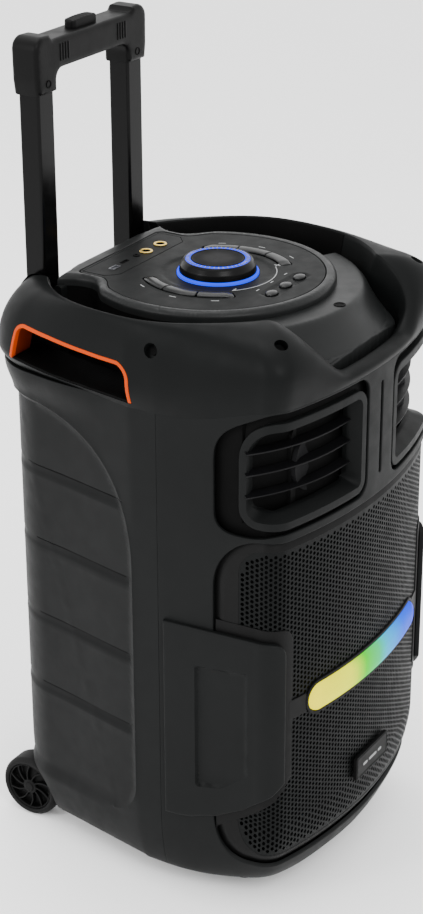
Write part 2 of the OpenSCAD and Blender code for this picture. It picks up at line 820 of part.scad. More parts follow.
module release_button() {
    color(black) place() translate([0, tube_y, 0]) {
        translate([0, 0, bar_z + 6]) linear_extrude(grip_top_z + 4.5 - bar_z - 6) polygon(rounded(-23, 23, -7.5, 7.5, 7.4, 6));
        translate([0, 0, bar_z + 6]) linear_extrude(grip_top_z - bar_z) polygon(rounded(-20, 20, -4.5, 4.5, 4.4, 6));
    }
}

module release_linkage() {
    color(steel) place() {
        translate([-tube_spacing / 2 - 5, tube_y - 4, bar_z]) cube([tube_spacing + 10, 8, 6]);
        at_tubes() translate([0, 0, pin_z - 5]) cylinder(r = rod_r, h = bar_z - pin_z + 6);
        at_tubes() translate([-4, -4, pin_z - 12]) cube([8, 8, 24]);
    }
}

module lock_pin() {
    color(steel) place() translate([tube_spacing / 2, tube_y, pin_z]) rotate([0, 90, 0])
        translate([0, 0, 9.6]) cylinder(r = pin_r, h = 4.9);
}

module lock_pin_right() {
    lock_pin();
}

module lock_pin_left() {
    mirror([1, 0, 0]) lock_pin();
}

// ---- wheels and feet ----
axle_r = 5;
foot_x = 105;
foot_y = 106;

module wheel() {
    hub_in = wheel_outer_x - wheel_w;
    color(black) place() translate([0, wheel_y, wheel_r]) rotate([0, 90, 0]) {
        difference() {
            translate([0, 0, hub_in]) cylinder(r = wheel_r, h = wheel_w, $fn = 96);
            translate([0, 0, wheel_outer_x - 5]) cylinder(r = 30.4, h = 10);
            translate([0, 0, hub_in - 1]) cylinder(r = axle_r + 0.05, h = wheel_w - 5);
        }
        translate([0, 0, wheel_outer_x - 6]) cylinder(r = 9, h = 5);
        for (a = [0:30:330]) rotate([0, 0, a]) translate([8, -1.5, wheel_outer_x - 6]) cube([23.5, 3, 4]);
    }
}

module wheel_right() {
    wheel();
}

module wheel_left() {
    mirror([1, 0, 0]) wheel();
}

module axle() {
    color(steel) place() translate([0, wheel_y, wheel_r]) rotate([0, 90, 0])
        cylinder(r = axle_r, h = 2 * (wheel_outer_x - 7), center = true);
}

module front_feet() {
    color(black) place() mirrored() translate([foot_x, foot_y, 0]) difference() {
        union() {
            cylinder(r = 14, h = base_z);
            cylinder(r = 2.9, h = base_z + 9);
        }
        translate([0, 0, -1]) cylinder(r = 6, h = 6);
    }
}

// ---- inside ----
module battery() {
    color([0.2, 0.2, 0.25]) place() translate([-76, 235, base_z + 6]) cube([152, 66, 96]);
}

module amplifier() {
    color([0.08, 0.3, 0.16]) place() {
        translate([-80, 340, 170]) cube([160, 2, 140]);
        for (x = [-60:12:60]) translate([x - 1.5, 306, 190]) cube([3, 34, 100]);
        translate([-64, 334, 186]) cube([128, 6, 108]);
        mirrored() for (z = [180, 300]) translate([60, depth - wall, z]) rotate([90, 0, 0])
            cylinder(r = 4, h = depth - wall - 342);
    }
}

module bass_port() {
    color(black) place() translate([port_x, depth, port_z]) rotate([90, 0, 0]) difference() {
        union() {
            translate([0, 0, -1.5]) cylinder(r = port_r + 9, h = 1.5);
            cylinder(r = port_r + 3, h = 130);
        }
        translate([0, 0, -5]) cylinder(r = port_r, h = 140);
    }
}

module charge_inlet() {
    color(black) place() translate([0, depth, inlet_z + 40]) rotate([90, 0, 0]) difference() {
        union() {
            translate([0, 0, -1]) cylinder(r = 10, h = 1);
            cylinder(r = 7.8, h = 18);
        }
        translate([0, 0, -3]) cylinder(r = 2.75, h = 15);
    }
}

module screw(length) {
    cylinder(r = 4, h = 3);
    translate([0, 0, -length]) cylinder(r = 1.9, h = length + 1);
}

module case_screws() {
    color(steel) place() {
        at_rim_screws() translate([0, 0, -8.95]) screw(20);
        translate([0, 54, ledge_z - 13.95]) screw(8);
    }
}

rear_shell();
front_shell();
base_plate();
baffle();
grille();
grille_frame();
light_band();
light_bezel();
badge();
window_frames();
louvres();
tweeters();
woofer_frame();
woofer_magnet();
woofer_surround();
woofer_cone();
side_pad_left();
side_pad_right();
rim_ring();
top_deck();
panel_bezel();
control_panel();
connector_plate();
usb_port();
card_slot();
aux_jack();
mic_jacks();
knob_light();
volume_encoder();
knob_body();
knob_disc();
knob_glow_ring();
arc_button_1();
arc_button_2();
arc_button_3();
arc_button_4();
arc_button_5();
arc_button_6();
round_button_1();
round_button_2();
round_button_3();
slot_trims();
grip_mats();
handle_sleeves();
handle_tubes();
handle_grip();
release_button();
release_linkage();
lock_pin_left();
lock_pin_right();
wheel_left();
wheel_right();
axle();
front_feet();
battery();
amplifier();
control_board();
bass_port();
charge_inlet();
case_screws();
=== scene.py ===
import math

import bmesh
import bpy
import numpy as np
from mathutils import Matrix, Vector
from mathutils.geometry import delaunay_2d_cdt
from mathutils.kdtree import KDTree


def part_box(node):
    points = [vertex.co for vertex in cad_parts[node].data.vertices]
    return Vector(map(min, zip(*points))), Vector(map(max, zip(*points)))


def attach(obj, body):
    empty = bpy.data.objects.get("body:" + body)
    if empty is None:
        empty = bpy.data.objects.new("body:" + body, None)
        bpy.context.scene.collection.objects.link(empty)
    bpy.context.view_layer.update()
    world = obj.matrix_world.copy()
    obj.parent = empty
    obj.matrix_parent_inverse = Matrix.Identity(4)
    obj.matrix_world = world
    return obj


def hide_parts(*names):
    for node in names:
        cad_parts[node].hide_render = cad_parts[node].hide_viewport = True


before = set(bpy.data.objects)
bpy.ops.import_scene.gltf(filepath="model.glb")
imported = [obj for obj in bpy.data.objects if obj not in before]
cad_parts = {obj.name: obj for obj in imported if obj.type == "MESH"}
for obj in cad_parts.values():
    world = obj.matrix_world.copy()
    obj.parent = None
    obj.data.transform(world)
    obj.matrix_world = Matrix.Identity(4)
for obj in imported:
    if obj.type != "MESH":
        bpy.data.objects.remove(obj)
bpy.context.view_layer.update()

# Shapes are given in millimetres: x to the right, y backwards from the front, z up from the floor.
MM = 0.001
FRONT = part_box("front_shell")[0].y


def metres(p):
    p = np.asarray(p, float) * MM
    p[..., 1] += FRONT
    return p


def node_box(node):
    """A CAD node's lowest and highest corner, in millimetres, y from the front."""
    low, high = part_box(node)
    low, high = np.array(low), np.array(high)
    low[1] -= FRONT
    high[1] -= FRONT
    return low / MM, high / MM


# ---------------------------------------------------------------- camera
camera_data = bpy.data.cameras.new("camera")
camera = bpy.data.objects.new("camera", camera_data)
bpy.context.scene.collection.objects.link(camera)
camera.location = (-1.8643, -1.14525, 1.4615)
camera.rotation_euler = Vector((0.778, 0.471, -0.4155)).to_track_quat("-Z", "Y").to_euler()
camera_data.lens = 83.4
camera_data.sensor_width = 36
camera_data.shift_x = -0.0168
camera_data.shift_y = 0.0017
camera_data.clip_end = 20
bpy.context.scene.camera = camera


# ---------------------------------------------------------------- materials
class Nodes:
    """A short way to write a material's nodes."""

    def __init__(self, name):
        self.mat = bpy.data.materials.new(name)
        self.mat.use_nodes = True
        self.tree = self.mat.node_tree
        self.bsdf = self.tree.nodes["Principled BSDF"]
        self.place = self.add("ShaderNodeTexCoord").outputs["Object"]

    def add(self, kind, inputs=None, **settings):
        node = self.tree.nodes.new(kind)
        for key, value in settings.items():
            setattr(node, key, value)
        for key, value in (inputs or {}).items():
            self.put(node.inputs[key], value)
        return node

    def put(self, socket, value):
        if isinstance(value, bpy.types.NodeSocket):
            self.tree.links.new(value, socket)
        else:
            socket.default_value = value

    def noise(self, scale, detail=2.0, place=None):
        settings = {"Vector": place or self.place, "Scale": scale, "Detail": detail}
        return self.add("ShaderNodeTexNoise", settings).outputs["Fac"]

    def spread(self, value, low, high, start=0.3, end=0.7):
        settings = {"Value": value, "From Min": start, "From Max": end, "To Min": low, "To Max": high}
        return self.add("ShaderNodeMapRange", settings).outputs["Result"]

    def math(self, operation, a, b=0.0):
        return self.add("ShaderNodeMath", {0: a, 1: b}, operation=operation).outputs[0]

    def mix(self, factor, a, b):
        node = self.add("ShaderNodeMix", {"Factor": factor}, data_type="RGBA")
        self.put(node.inputs[6], a)
        self.put(node.inputs[7], b)
        return node.outputs[2]

    def ramp(self, value, stops):
        node = self.add("ShaderNodeValToRGB", {"Fac": value})
        points = node.color_ramp.elements
        while len(points) < len(stops):
            points.new(0.5)
        for point, (position, colour) in zip(points, stops):
            point.position = position
            point.color = colour
        return node.outputs["Color"]

    def bump(self, height, strength, distance=0.001):
        settings = {"Height": height, "Strength": strength, "Distance": distance}
        self.put(self.bsdf.inputs["Normal"], self.add("ShaderNodeBump", settings).outputs["Normal"])

    def set(self, **values):
        for key, value in values.items():
            self.put(self.bsdf.inputs[key.replace("_", " ")], value)


def rgb(code):
    parts = [int(code[i:i + 2], 16) / 255 for i in (0, 2, 4)]
    return tuple(v / 12.92 if v < 0.04045 else ((v + 0.055) / 1.055) ** 2.4 for v in parts) + (1.0,)


def shade(colour, amount):
    return tuple(v * amount for v in colour[:3]) + (1.0,)


def moulded(name, code, rough, grain=700, strength=0.25, vary=0.12, shine=0.07):
    """Moulded plastic: a fine sparked grain, and slightly uneven colour and gloss."""
    n = Nodes(name)
    colour = rgb(code)
    cloud = n.noise(9, 3)
    n.set(Base_Color=n.mix(n.spread(cloud, 0, 1), shade(colour, 1 - vary), shade(colour, 1 + vary)))
    n.set(Roughness=n.spread(n.noise(60, 3), rough - 0.04, rough + 0.05))
    n.bump(n.noise(grain, 3), strength, 0.0004)
    n.bsdf.inputs["Specular IOR Level"].default_value = shine
    return n.mat


def metal(name, code, rough, stretch=(1, 1, 1), vary=0.15):
    """Brushed or plated metal: fine lines along one axis in colour, gloss and height."""
    n = Nodes(name)
    colour = rgb(code)
    lines = n.add("ShaderNodeMapping", {"Vector": n.place, "Scale": stretch}).outputs[0]
    scratch = n.noise(400, 3, lines)
    n.set(Base_Color=n.mix(scratch, shade(colour, 1 - vary), shade(colour, 1 + vary)))
    n.set(Roughness=n.spread(scratch, rough - 0.05, rough + 0.08))
    n.bsdf.inputs["Metallic"].default_value = 1.0
    n.bump(scratch, 0.15, 0.0002)
    return n.mat


def glowing(name, stops, x0, x1, power):
    """A lit diffuser: the colour runs along x, and the light is a little uneven."""
    n = Nodes(name)
    x = n.add("ShaderNodeSeparateXYZ", {"Vector": n.place}).outputs["X"]
    along = n.spread(x, 0, 1, x0, x1)
    colour = n.ramp(along, stops)
    n.set(Base_Color=n.mix(0.85, colour, (0, 0, 0, 1)))
    n.set(Emission_Color=colour)
    n.bsdf.inputs["Specular IOR Level"].default_value = 0.02
    n.set(Emission_Strength=n.spread(n.noise(40, 2), power * 0.95, power * 1.05))
    n.set(Roughness=n.spread(n.noise(90), 0.3, 0.4))
    n.bump(n.noise(500), 0.05, 0.0003)
    return n.mat


CHARCOAL = moulded("charcoal_plastic", "0B0C0C", 0.5)
RIM = moulded("rim_plastic", "090A0A", 0.45, grain=900, strength=0.15, shine=0.05)
BLACK = moulded("black_plastic", "060606", 0.5, shine=0.08)
# near black: the colour of black parts such as the grip mats, screws and jack wells, and also painted shade on
# dark sheets and walls in slots, grooves, gaps and behind the grille and the windows
BLACK_AND_SHADE = moulded("black_and_painted_shade", "030303", 0.6, shine=0.04)
PANEL = moulded("panel_plastic", "0B0C0C", 0.48, grain=1100, strength=0.12, shine=0.05)
BEZEL = moulded("bezel_plastic", "111212", 0.38, grain=1000, strength=0.1, shine=0.12)
KEY = moulded("key_plastic", "070808", 0.3, grain=900, strength=0.02, shine=0.22)
KNOB_GLOSS = moulded("knob_gloss", "010101", 0.3, grain=300, strength=0.02, shine=0.1)
GRILLE = moulded("grille_paint", "060707", 0.45, grain=1500, strength=0.15, shine=0.065)
BLADE = moulded("blade_plastic", "070708", 0.45, shine=0.1)
GRIP = moulded("grip_plastic", "020202", 0.45, grain=600, strength=0.3, shine=0.08)
ORANGE = moulded("orange_plastic", "A23606", 0.45, grain=900, strength=0.1, vary=0.05, shine=0.04)
# painted shade: a darker copy of the orange for the hand slot's inner walls, which lie in shade
ORANGE_SHADE = moulded("orange_painted_shade", "5C1A03", 0.5, grain=900, strength=0.1, vary=0.05, shine=0.1)
RUBBER = moulded("tyre_rubber", "0B0B0B", 0.6, grain=500, strength=0.35, shine=0.1)
PRINT = moulded("print_ink", "7C7D7D", 0.5, grain=900, strength=0.05)
CIRCUIT = moulded("circuit_board", "12452A", 0.4, grain=300, strength=0.1)
WRAP = moulded("battery_wrap", "2A3350", 0.35, grain=150, strength=0.1)
CONE = moulded("cone_paper", "111112", 0.75, grain=260, strength=0.6)
TUBE = moulded("tube_gloss", "030303", 0.2, grain=60, strength=0.02, shine=0.09)
STEEL = metal("plated_steel", "7A7B80", 0.3, (1, 1, 12))
MAGNET = metal("magnet_iron", "2A2A2C", 0.45, (1, 1, 1))
GOLD = metal("gold_plate", "D8B85A", 0.25, (1, 1, 6))
LIGHT = glowing("band_light", [
    (0.0, rgb("FFF000")), (0.28, rgb("E8F000")), (0.4, rgb("40D400")), (0.52, rgb("10C070")),
    (0.62, rgb("00A8E0")), (0.8, rgb("0858F0")), (1.0, rgb("0828F0"))], -0.124, 0.124, 1.6)
BLUE = glowing("knob_light", [(0.0, rgb("1A3CF0")), (1.0, rgb("1438E8"))], -0.05, 0.05, 1.8)


def disc_metal():
    """The knob's disc, dark like smoked metal: a painted reflection of broad light and dark wedges in its
    colour, and fine turned rings in its gloss and height.
    """
    n = Nodes("turned_disc")
    low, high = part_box("knob_disc")
    centre = [-(low[i] + high[i]) / 2 for i in range(2)]
    local = n.add("ShaderNodeMapping", {"Vector": n.place, "Location": (centre[0], centre[1], 0)}).outputs[0]
    angle = n.add("ShaderNodeTexGradient", {"Vector": local}, gradient_type="RADIAL").outputs["Fac"]
    # painted reflection: light and dark wedges round the centre, like the highlights on spun metal
    painted_sheen_wave = n.math("SINE", n.math("MULTIPLY", angle, math.tau * 4))
    painted_sheen_wave = n.math("ADD", painted_sheen_wave, n.math("SINE", n.math("MULTIPLY", angle, math.tau * 7)))
    painted_sheen = n.spread(painted_sheen_wave, 0, 1, -1.6, 1.6)
    radius = n.add("ShaderNodeVectorMath", {0: local}, operation="LENGTH").outputs["Value"]
    rings = n.math("SINE", n.math("MULTIPLY", radius, 9000))
    n.set(Base_Color=n.mix(painted_sheen, rgb("010101"), rgb("08080A")))
    n.set(Roughness=n.spread(rings, 0.42, 0.55, -1, 1))
    n.bsdf.inputs["Specular IOR Level"].default_value = 0.03
    n.bump(rings, 0.1, 0.0002)
    return n.mat


DISC = disc_metal()

# the CAD colour slot that each material stands for, unless a piece says otherwise
SLOT_OF = {material.name: slot for slot, group in (
    ("charcoal", (CHARCOAL, RIM)), ("black_plastic", (BLACK, BLACK_AND_SHADE, BEZEL, BLADE, GRIP)),
    ("gloss_black", (KEY, KNOB_GLOSS)), ("panel", (PANEL, PRINT)), ("orange", (ORANGE, ORANGE_SHADE)),
    ("grille_black", (GRILLE,)), ("rubber", (RUBBER,)), ("tube_black", (TUBE,)), ("steel", (STEEL,)),
    ("gold", (GOLD,)), ("light", (LIGHT,)), ("blue_light", (BLUE,)), ("disc", (DISC,))) for material in group}
SIDES = ((1, "right"), (-1, "left"))


# ---------------------------------------------------------------- mesh tools
def smoothed(obj, angle=35):
    """Smooth faces, sharp edges past an angle, and normals weighted by the faces' sizes."""
    mesh = obj.data
    mesh.polygons.foreach_set("use_smooth", [True] * len(mesh.polygons))
    mesh.set_sharp_from_angle(angle=math.radians(angle))
    obj.modifiers.new("shading", "WEIGHTED_NORMAL").keep_sharp = True


def outwards(mesh):
    """Turns a closed mesh's faces outwards."""
    faces = bmesh.new()
    faces.from_mesh(mesh)
    bmesh.ops.recalc_face_normals(faces, faces=faces.faces)
    faces.to_mesh(mesh)
    faces.free()


def fixed(obj):
    outwards(obj.data)
    obj.data.set_sharp_from_angle(angle=math.radians(35))
    return obj


def make(name, verts, faces, mat, body="cabinet", node=None, slot=None, angle=35):
    """A mesh piece that rides on a body and may stand for a CAD node."""
    mesh = bpy.data.meshes.new(name)
    mesh.from_pydata([tuple(v) for v in metres(verts)], [], [tuple(int(i) for i in f) for f in faces])
    mesh.validate()
    mesh.materials.append(mat)
    obj = bpy.data.objects.new(name, mesh)
    bpy.context.scene.collection.objects.link(obj)
    smoothed(obj, angle)
    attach(obj, body)
    slot or SLOT_OF[mat.name]
    if node:
        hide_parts(node)
    return obj


def arc(cx, cy, r, a0, a1, n):
    a = np.radians(np.linspace(a0, a1, n + 1))
    return np.stack([cx + r * np.cos(a), cy + r * np.sin(a)], 1)


def bezier(points, n):
    t = np.linspace(0, 1, n + 1)[:, None]
    p = [np.array(q, float) for q in points]
    s = 1 - t
    return s ** 3 * p[0] + 3 * s * s * t * p[1] + 3 * s * t * t * p[2] + t ** 3 * p[3]


def smooth(t):
    t = np.clip(t, 0, 1)
    return t * t * (3 - 2 * t)


def rounded(x0, x1, y0, y1, r, n=8):
    r = np.broadcast_to(r, 4)
    return np.concatenate([
        arc(x1 - r[0], y1 - r[0], r[0], 0, 90, n), arc(x0 + r[1], y1 - r[1], r[1], 90, 180, n),
        arc(x0 + r[2], y0 + r[2], r[2], 180, 270, n), arc(x1 - r[3], y0 + r[3], r[3], 270, 360, n)])


def ellipse(cx, cy, rx, ry, n=48):
    a = np.linspace(0, math.tau, n, endpoint=False)
    return np.stack([cx + rx * np.cos(a), cy + ry * np.sin(a)], 1)


def area(loop):
    x, y = loop[:, 0], loop[:, 1]
    return 0.5 * np.sum(x * np.roll(y, -1) - np.roll(x, -1) * y)


def spaced(line, step, closed=True):
    """The same line with points no further apart than step; corners stay."""
    out = []
    count = len(line) if closed else len(line) - 1
    for i in range(count):
        a, b = line[i], line[(i + 1) % len(line)]
        d = np.linalg.norm(b - a)
        if d < 1e-6:
            continue
        n = max(1, int(math.ceil(d / step)))
        out += [a + (b - a) * k / n for k in range(n)]
    if not closed:
        out.append(line[-1])
    return np.array(out)


def inside(points, loop):
    x, y = points[:, 0][:, None], points[:, 1][:, None]
    x0, y0 = loop[:, 0][None], loop[:, 1][None]
    x1, y1 = np.roll(loop[:, 0], -1)[None], np.roll(loop[:, 1], -1)[None]
    with np.errstate(divide="ignore", invalid="ignore"):
        hit = ((y0 > y) != (y1 > y)) & (x < (x1 - x0) * (y - y0) / (y1 - y0) + x0)
    return hit.sum(1) % 2 == 1


def distance(points, line, closed=True):
    a = line if closed else line[:-1]
    b = np.roll(line, -1, 0) if closed else line[1:]
    best = np.full(len(points), 1e9)
    d = b - a
    length = np.maximum((d ** 2).sum(1), 1e-12)
    for start in range(0, len(points), 4000):
        p = points[start:start + 4000, None]
        t = np.clip(((p - a) * d).sum(2) / length, 0, 1)
        gap = np.linalg.norm(p - (a + d * t[..., None]), axis=2)
        best[start:start + 4000] = gap.min(1)
    return best


def looped(loop):
    return np.vstack([loop, loop[:1]])


def shifted(loop, by):
    """A closed loop moved to its left by a distance."""
    ahead = np.roll(loop, -1, 0) - loop
    ahead /= np.maximum(np.linalg.norm(ahead, axis=1)[:, None], 1e-9)
    left = np.stack([-ahead[:, 1], ahead[:, 0]], 1)
    mean = left + np.roll(left, 1, 0)
    mean /= np.maximum(np.linalg.norm(mean, axis=1)[:, None], 1e-9)
    scale = 1 / np.maximum((mean * left).sum(1), 0.5)
    return loop + mean * (by * scale)[:, None]


def delaunay(points, edges):
    """Points, triangles and the triangles' centres of a triangulation that keeps the edges."""
    result = delaunay_2d_cdt([Vector(p) for p in points], edges, [], 0, 1e-5)
    xy = np.array([tuple(v) for v in result[0]])
    tris = np.array([f for f in result[2] if len(f) == 3])
    return xy, tris, xy[tris].mean(1)


def triangulated(loops, cell, steps, lines=(), extra=()):
    """Points and triangles that fill the first loop but none of the others, with the edge distances."""
    loops = [spaced(np.asarray(k, float), cell) for k in loops]
    outer, holes = loops[0], loops[1:]
    outer = outer if area(outer) > 0 else outer[::-1]
    holes = [h if area(h) < 0 else h[::-1] for h in holes]
    edges_from = [outer] + holes
    points, edges = [], []

    def add(line, closed):
        base = len(points)
        points.extend(line)
        edges.extend((base + i, base + i + 1) for i in range(len(line) - 1))
        if closed:
            edges.append((base + len(line) - 1, base))

    for line in edges_from:
        add(line, True)
    free = [spaced(np.asarray(k, float), cell, False) for k in lines]
    for line in free:
        add(line, False)
    rings = []
    for line in edges_from:
        for step in steps:
            ring = shifted(line, step)
            keep = distance(ring, line) > step * 0.9
            rings.append(ring[keep])
    rings += [np.asarray(e, float) for e in extra]
    low, high = outer.min(0), outer.max(0)
    gx, gy = np.meshgrid(np.arange(low[0], high[0], cell), np.arange(low[1], high[1], cell * 0.87))
    gx[1::2] += cell / 2
    grid = np.stack([gx.ravel(), gy.ravel()], 1)
    away = np.full(len(grid), 1e9)
    for line in edges_from:
        away = np.minimum(away, distance(grid, line))
    reach = (max(steps) if steps else 0) + cell * 0.45
    keep = away > reach
    for line in free:
        keep &= distance(grid, line, False) > cell * 0.35
    rings.append(grid[keep])
    loose = np.concatenate(rings)
    ok = inside(loose, outer)
    for h in holes:
        ok &= ~inside(loose, h)
    points.extend(loose[ok])
    xy, tris, middle = delaunay(points, edges)
    ok = inside(middle, outer)
    for h in holes:
        ok &= ~inside(middle, h)
    tris = tris[ok]
    used = np.unique(tris)
    index = np.full(len(xy), -1)
    index[used] = np.arange(len(used))
    xy, tris = xy[used], index[tris]
    edge = np.full(len(xy), 1e9)
    for line in edges_from:
        edge = np.minimum(edge, distance(xy, line))
    return xy, tris, edge


def drop(edge, r):
    """How far a rounded edge of radius r falls at a distance from the border."""
    t = np.clip(1 - edge / r, 0, 1)
    return r * (1 - np.sqrt(1 - t * t))


def plate_faces(tris, n):
    """Faces of a plate: the triangles, the same n points further on underneath, and the edges' walls."""
    seen = dict.fromkeys(e for a, b, c in tris for e in ((a, b), (b, c), (c, a)))
    faces = [tuple(t) for t in tris] + [(c + n, b + n, a + n) for a, b, c in tris]
    return faces + [(b, a, a + n, b + n) for a, b in seen if (b, a) not in seen]


def relief(name, loops, place, mat, height=0.0, under=None, thick=3.0, cell=4.0, r=0.8, lines=(),
           extra=(), both=False, **options):
    """A plate cut to loops, laid on a surface by place(u, v, off), with rounded edges and its own relief."""
    steps = [r * 0.12, r * 0.45, r] if r else []
    xy, tris, edge = triangulated(loops, cell, steps, lines, extra)
    top = height(*xy.T) if callable(height) else np.full(len(xy), float(height))
    low = top - thick if under is None else np.full(len(xy), float(under))
    if r:
        top = top - drop(edge, r)
    if both:
        low = low + drop(edge, r)
    verts = np.concatenate([place(*xy.T, top), place(*xy.T, low)])
    return make(name, verts, plate_faces(tris, len(xy)), mat, **options)


def flat(u, v, off):
    return np.stack([u, v, off + 0 * u], 1)


def facing_front(y):
    """Lays a plate against the plane at y, facing forwards."""
    return lambda u, v, off: np.stack([u, y - off + 0 * u, v], 1)


def tube_faces(n, m, base=0, caps=True):
    """Faces over n rows of m points each, which start at the point base."""
    faces = []
    for i in range(base, base + (n - 1) * m, m):
        faces += [(i + j, i + (j + 1) % m, i + m + (j + 1) % m, i + m + j) for j in range(m)]
    if caps:
        faces += [tuple(range(base + m - 1, base - 1, -1)), tuple(range(base + (n - 1) * m, base + n * m))]
    return faces


def loft(name, rings, mat, caps=True, **options):
    """A skin over rows of points that each close on themselves; caps fill the first and last row."""
    rings = np.asarray(rings, float)
    return make(name, rings.reshape(-1, 3), tube_faces(*rings.shape[:2], caps=caps), mat, **options)


def lathe(name, profile, centre, mat, axis="z", n=96, **options):
    """A profile of (radius, height) turned about an axis through centre."""
    a = np.linspace(0, math.tau, n, endpoint=False)
    c, s = np.cos(a), np.sin(a)
    rows = []
    for radius, height in profile:
        x, y, h = radius * c, radius * s, height + 0 * a
        row = {"x": (h, x, y), "y": (y, h, x), "z": (x, y, h)}[axis]
        rows.append(np.stack(row, 1) + np.array(centre))
    return loft(name, rows, mat, **options)


def rolled(points, r, n=4):
    """An open or closed profile with its corners rounded to radius r."""
    out = [points[0]]
    for a, b, c in zip(points[:-2], points[1:-1], points[2:]):
        a, b, c = (np.array(q, float) for q in (a, b, c))
        la, lc = np.linalg.norm(a - b), np.linalg.norm(c - b)
        t = min(r, la * 0.45, lc * 0.45)
        p, q = b + (a - b) / la * t, b + (c - b) / lc * t
        for k in np.linspace(0, 1, n + 1):
            out.append(tuple((1 - k) ** 2 * p + 2 * k * (1 - k) * b + k * k * q))
    out.append(points[-1])
    return out


def cut(obj, cutters):
    """Takes cutters away from obj, and keeps the result as its mesh."""
    for cutter in cutters:
        modifier = obj.modifiers.new("cut", "BOOLEAN")
        modifier.operation = "DIFFERENCE"
        modifier.solver = "EXACT"
        modifier.object = cutter
    obj.modifiers.remove(obj.modifiers["shading"])
    bpy.context.view_layer.update()
    mesh = bpy.data.meshes.new_from_object(obj.evaluated_get(bpy.context.evaluated_depsgraph_get()))
    obj.modifiers.clear()
    obj.data = mesh
    smoothed(obj)
    for cutter in cutters:
        bpy.data.objects.remove(cutter)


def prism(points, lay):
    """A cutter: an outline pushed between two sides; lay(outline, side) gives the points of a side."""
    points = np.asarray(points, float)
    rings = np.array([lay(points, 0), lay(points, 1)])
    n = len(points)
    faces = [(j, (j + 1) % n, (j + 1) % n + n, j + n) for j in range(n)]
    faces += [tuple(range(n - 1, -1, -1)), tuple(range(n, 2 * n))]
    mesh = bpy.data.meshes.new("cutter")
    mesh.from_pydata([tuple(v) for v in metres(rings.reshape(-1, 3))], [], faces)
    mesh.validate()
    outwards(mesh)
    obj = bpy.data.objects.new("cutter", mesh)
    bpy.context.scene.collection.objects.link(obj)
    return obj


def along_x(x0, x1):
    return lambda p, side: np.stack([np.full(len(p), x1 if side else x0), p[:, 0], p[:, 1]], 1)


# ---------------------------------------------------------------- the cabinet's outside
HALF_W = 187.0
WIDEST_Y = 167.0
DEPTH = 405.0
BASE_Z = 25.0
CORNER = (147.0, 49.6)
CORNER_R = 28.0
REAR = (87.0, 330.0)
REAR_R = 75.0
FRONT_R = 540.0
TUCK_Z = 120.0
TUCK_RUN = 105.0


def half_plan():
    """Right half of the plan from the front's middle to the rear's middle."""
    front = arc(0, FRONT_R, FRONT_R, -90, -73.3, 70)
    corner = arc(*CORNER, CORNER_R, -73.3, 4, 30)
    side = np.array([[HALF_W, WIDEST_Y], [HALF_W, WIDEST_Y + 33]])
    rear = arc(*REAR, REAR_R, 8, 90, 50)
    line = np.concatenate([front, corner[1:], side, rear, [[0, DEPTH]]])
    return spaced(line, 2.0, False)


PLAN = half_plan()
PLAN_S = np.concatenate([[0], np.cumsum(np.linalg.norm(np.diff(PLAN, axis=0), axis=1))])
PLAN_END = PLAN_S[-1]


def plan_normals():
    """Outward normals of the plan, softened over a few millimetres."""
    reach = 3.0
    ahead = [np.interp(PLAN_S + reach, PLAN_S, PLAN[:, k]) for k in (0, 1)]
    behind = [np.interp(PLAN_S - reach, PLAN_S, PLAN[:, k]) for k in (0, 1)]
    tx, ty = ahead[0] - behind[0], ahead[1] - behind[1]
    length = np.hypot(tx, ty)
    return ty / length, -tx / length


PLAN_NX, PLAN_NY = plan_normals()


def s_at_y(y):
    """Distance round the plan, from the front's middle, of a point of the front, corner or side."""
    last = np.argmax(PLAN[:, 1] > 395)
    return float(np.interp(y, PLAN[:last, 1], PLAN_S[:last]))


def v_at_z(z):
    z = np.asarray(z, float)
    a = np.degrees(np.arcsin(np.clip((TUCK_Z - z) / (TUCK_Z - BASE_Z), 0, 1)))
    return np.where(z > TUCK_Z, z, TUCK_Z - TUCK_RUN * a / 90)


def z_at_v(v):
    a = np.radians(np.clip((TUCK_Z - v) / TUCK_RUN, 0, 1) * 90)
    return np.where(v > TUCK_Z, v, TUCK_Z - (TUCK_Z - BASE_Z) * np.sin(a)), a


def low_plan():
    """Right half of the tucked-in bottom outline from the front's middle to the crease."""
    front = [(0, 41), (26, 43), (72, 50)]
    corner = bezier([(72, 50), (128, 59), (165, 98), (HALF_W - 20, WIDEST_Y)], 24)
    line = spaced(np.vstack([front, corner[1:]]), 2.0, False)
    run = np.concatenate([[0], np.cumsum(np.linalg.norm(np.diff(line, axis=0), axis=1))])
    return line, run / run[-1] * s_at_y(WIDEST_Y)


LOW_PLAN, LOW_S = low_plan()


def skin(s, v, off):
    """The cabinet's outside at s round the plan and v up it, moved outwards by off."""
    s, v = np.asarray(s, float), np.asarray(v, float)
    side = np.where(s < 0, -1.0, 1.0)
    a = np.abs(s)
    x, y = np.interp(a, PLAN_S, PLAN[:, 0]), np.interp(a, PLAN_S, PLAN[:, 1])
    nx, ny = np.interp(a, PLAN_S, PLAN_NX), np.interp(a, PLAN_S, PLAN_NY)
    nx = np.where(a < 0.5, 0, nx)
    z, tilt = z_at_v(v)
    inset = 20 + 10 * np.clip(ny, 0, 1)
    ahead = a < LOW_S[-1]
    tuck_x = np.where(ahead, np.interp(a, LOW_S, LOW_PLAN[:, 0]) - x, -nx * inset) * (1 - np.cos(tilt))
    tuck_y = np.where(ahead, np.interp(a, LOW_S, LOW_PLAN[:, 1]) - y, -ny * inset) * (1 - np.cos(tilt))
    run = off * np.cos(tilt)
    return np.stack([side * (x + tuck_x + nx * run), y + tuck_y + ny * run, z - off * np.sin(tilt)], 1)


def rim_base(y):
    return 621 - 25 * smooth((y - 15) / 130)


def top_v(s):
    return rim_base(np.interp(np.abs(s), PLAN_S, PLAN[:, 1])) + 3


def mirror(loop):
    return np.asarray(loop)[::-1] * [-1, 1]


def to_side(side, loop):
    return loop if side > 0 else mirror(loop)


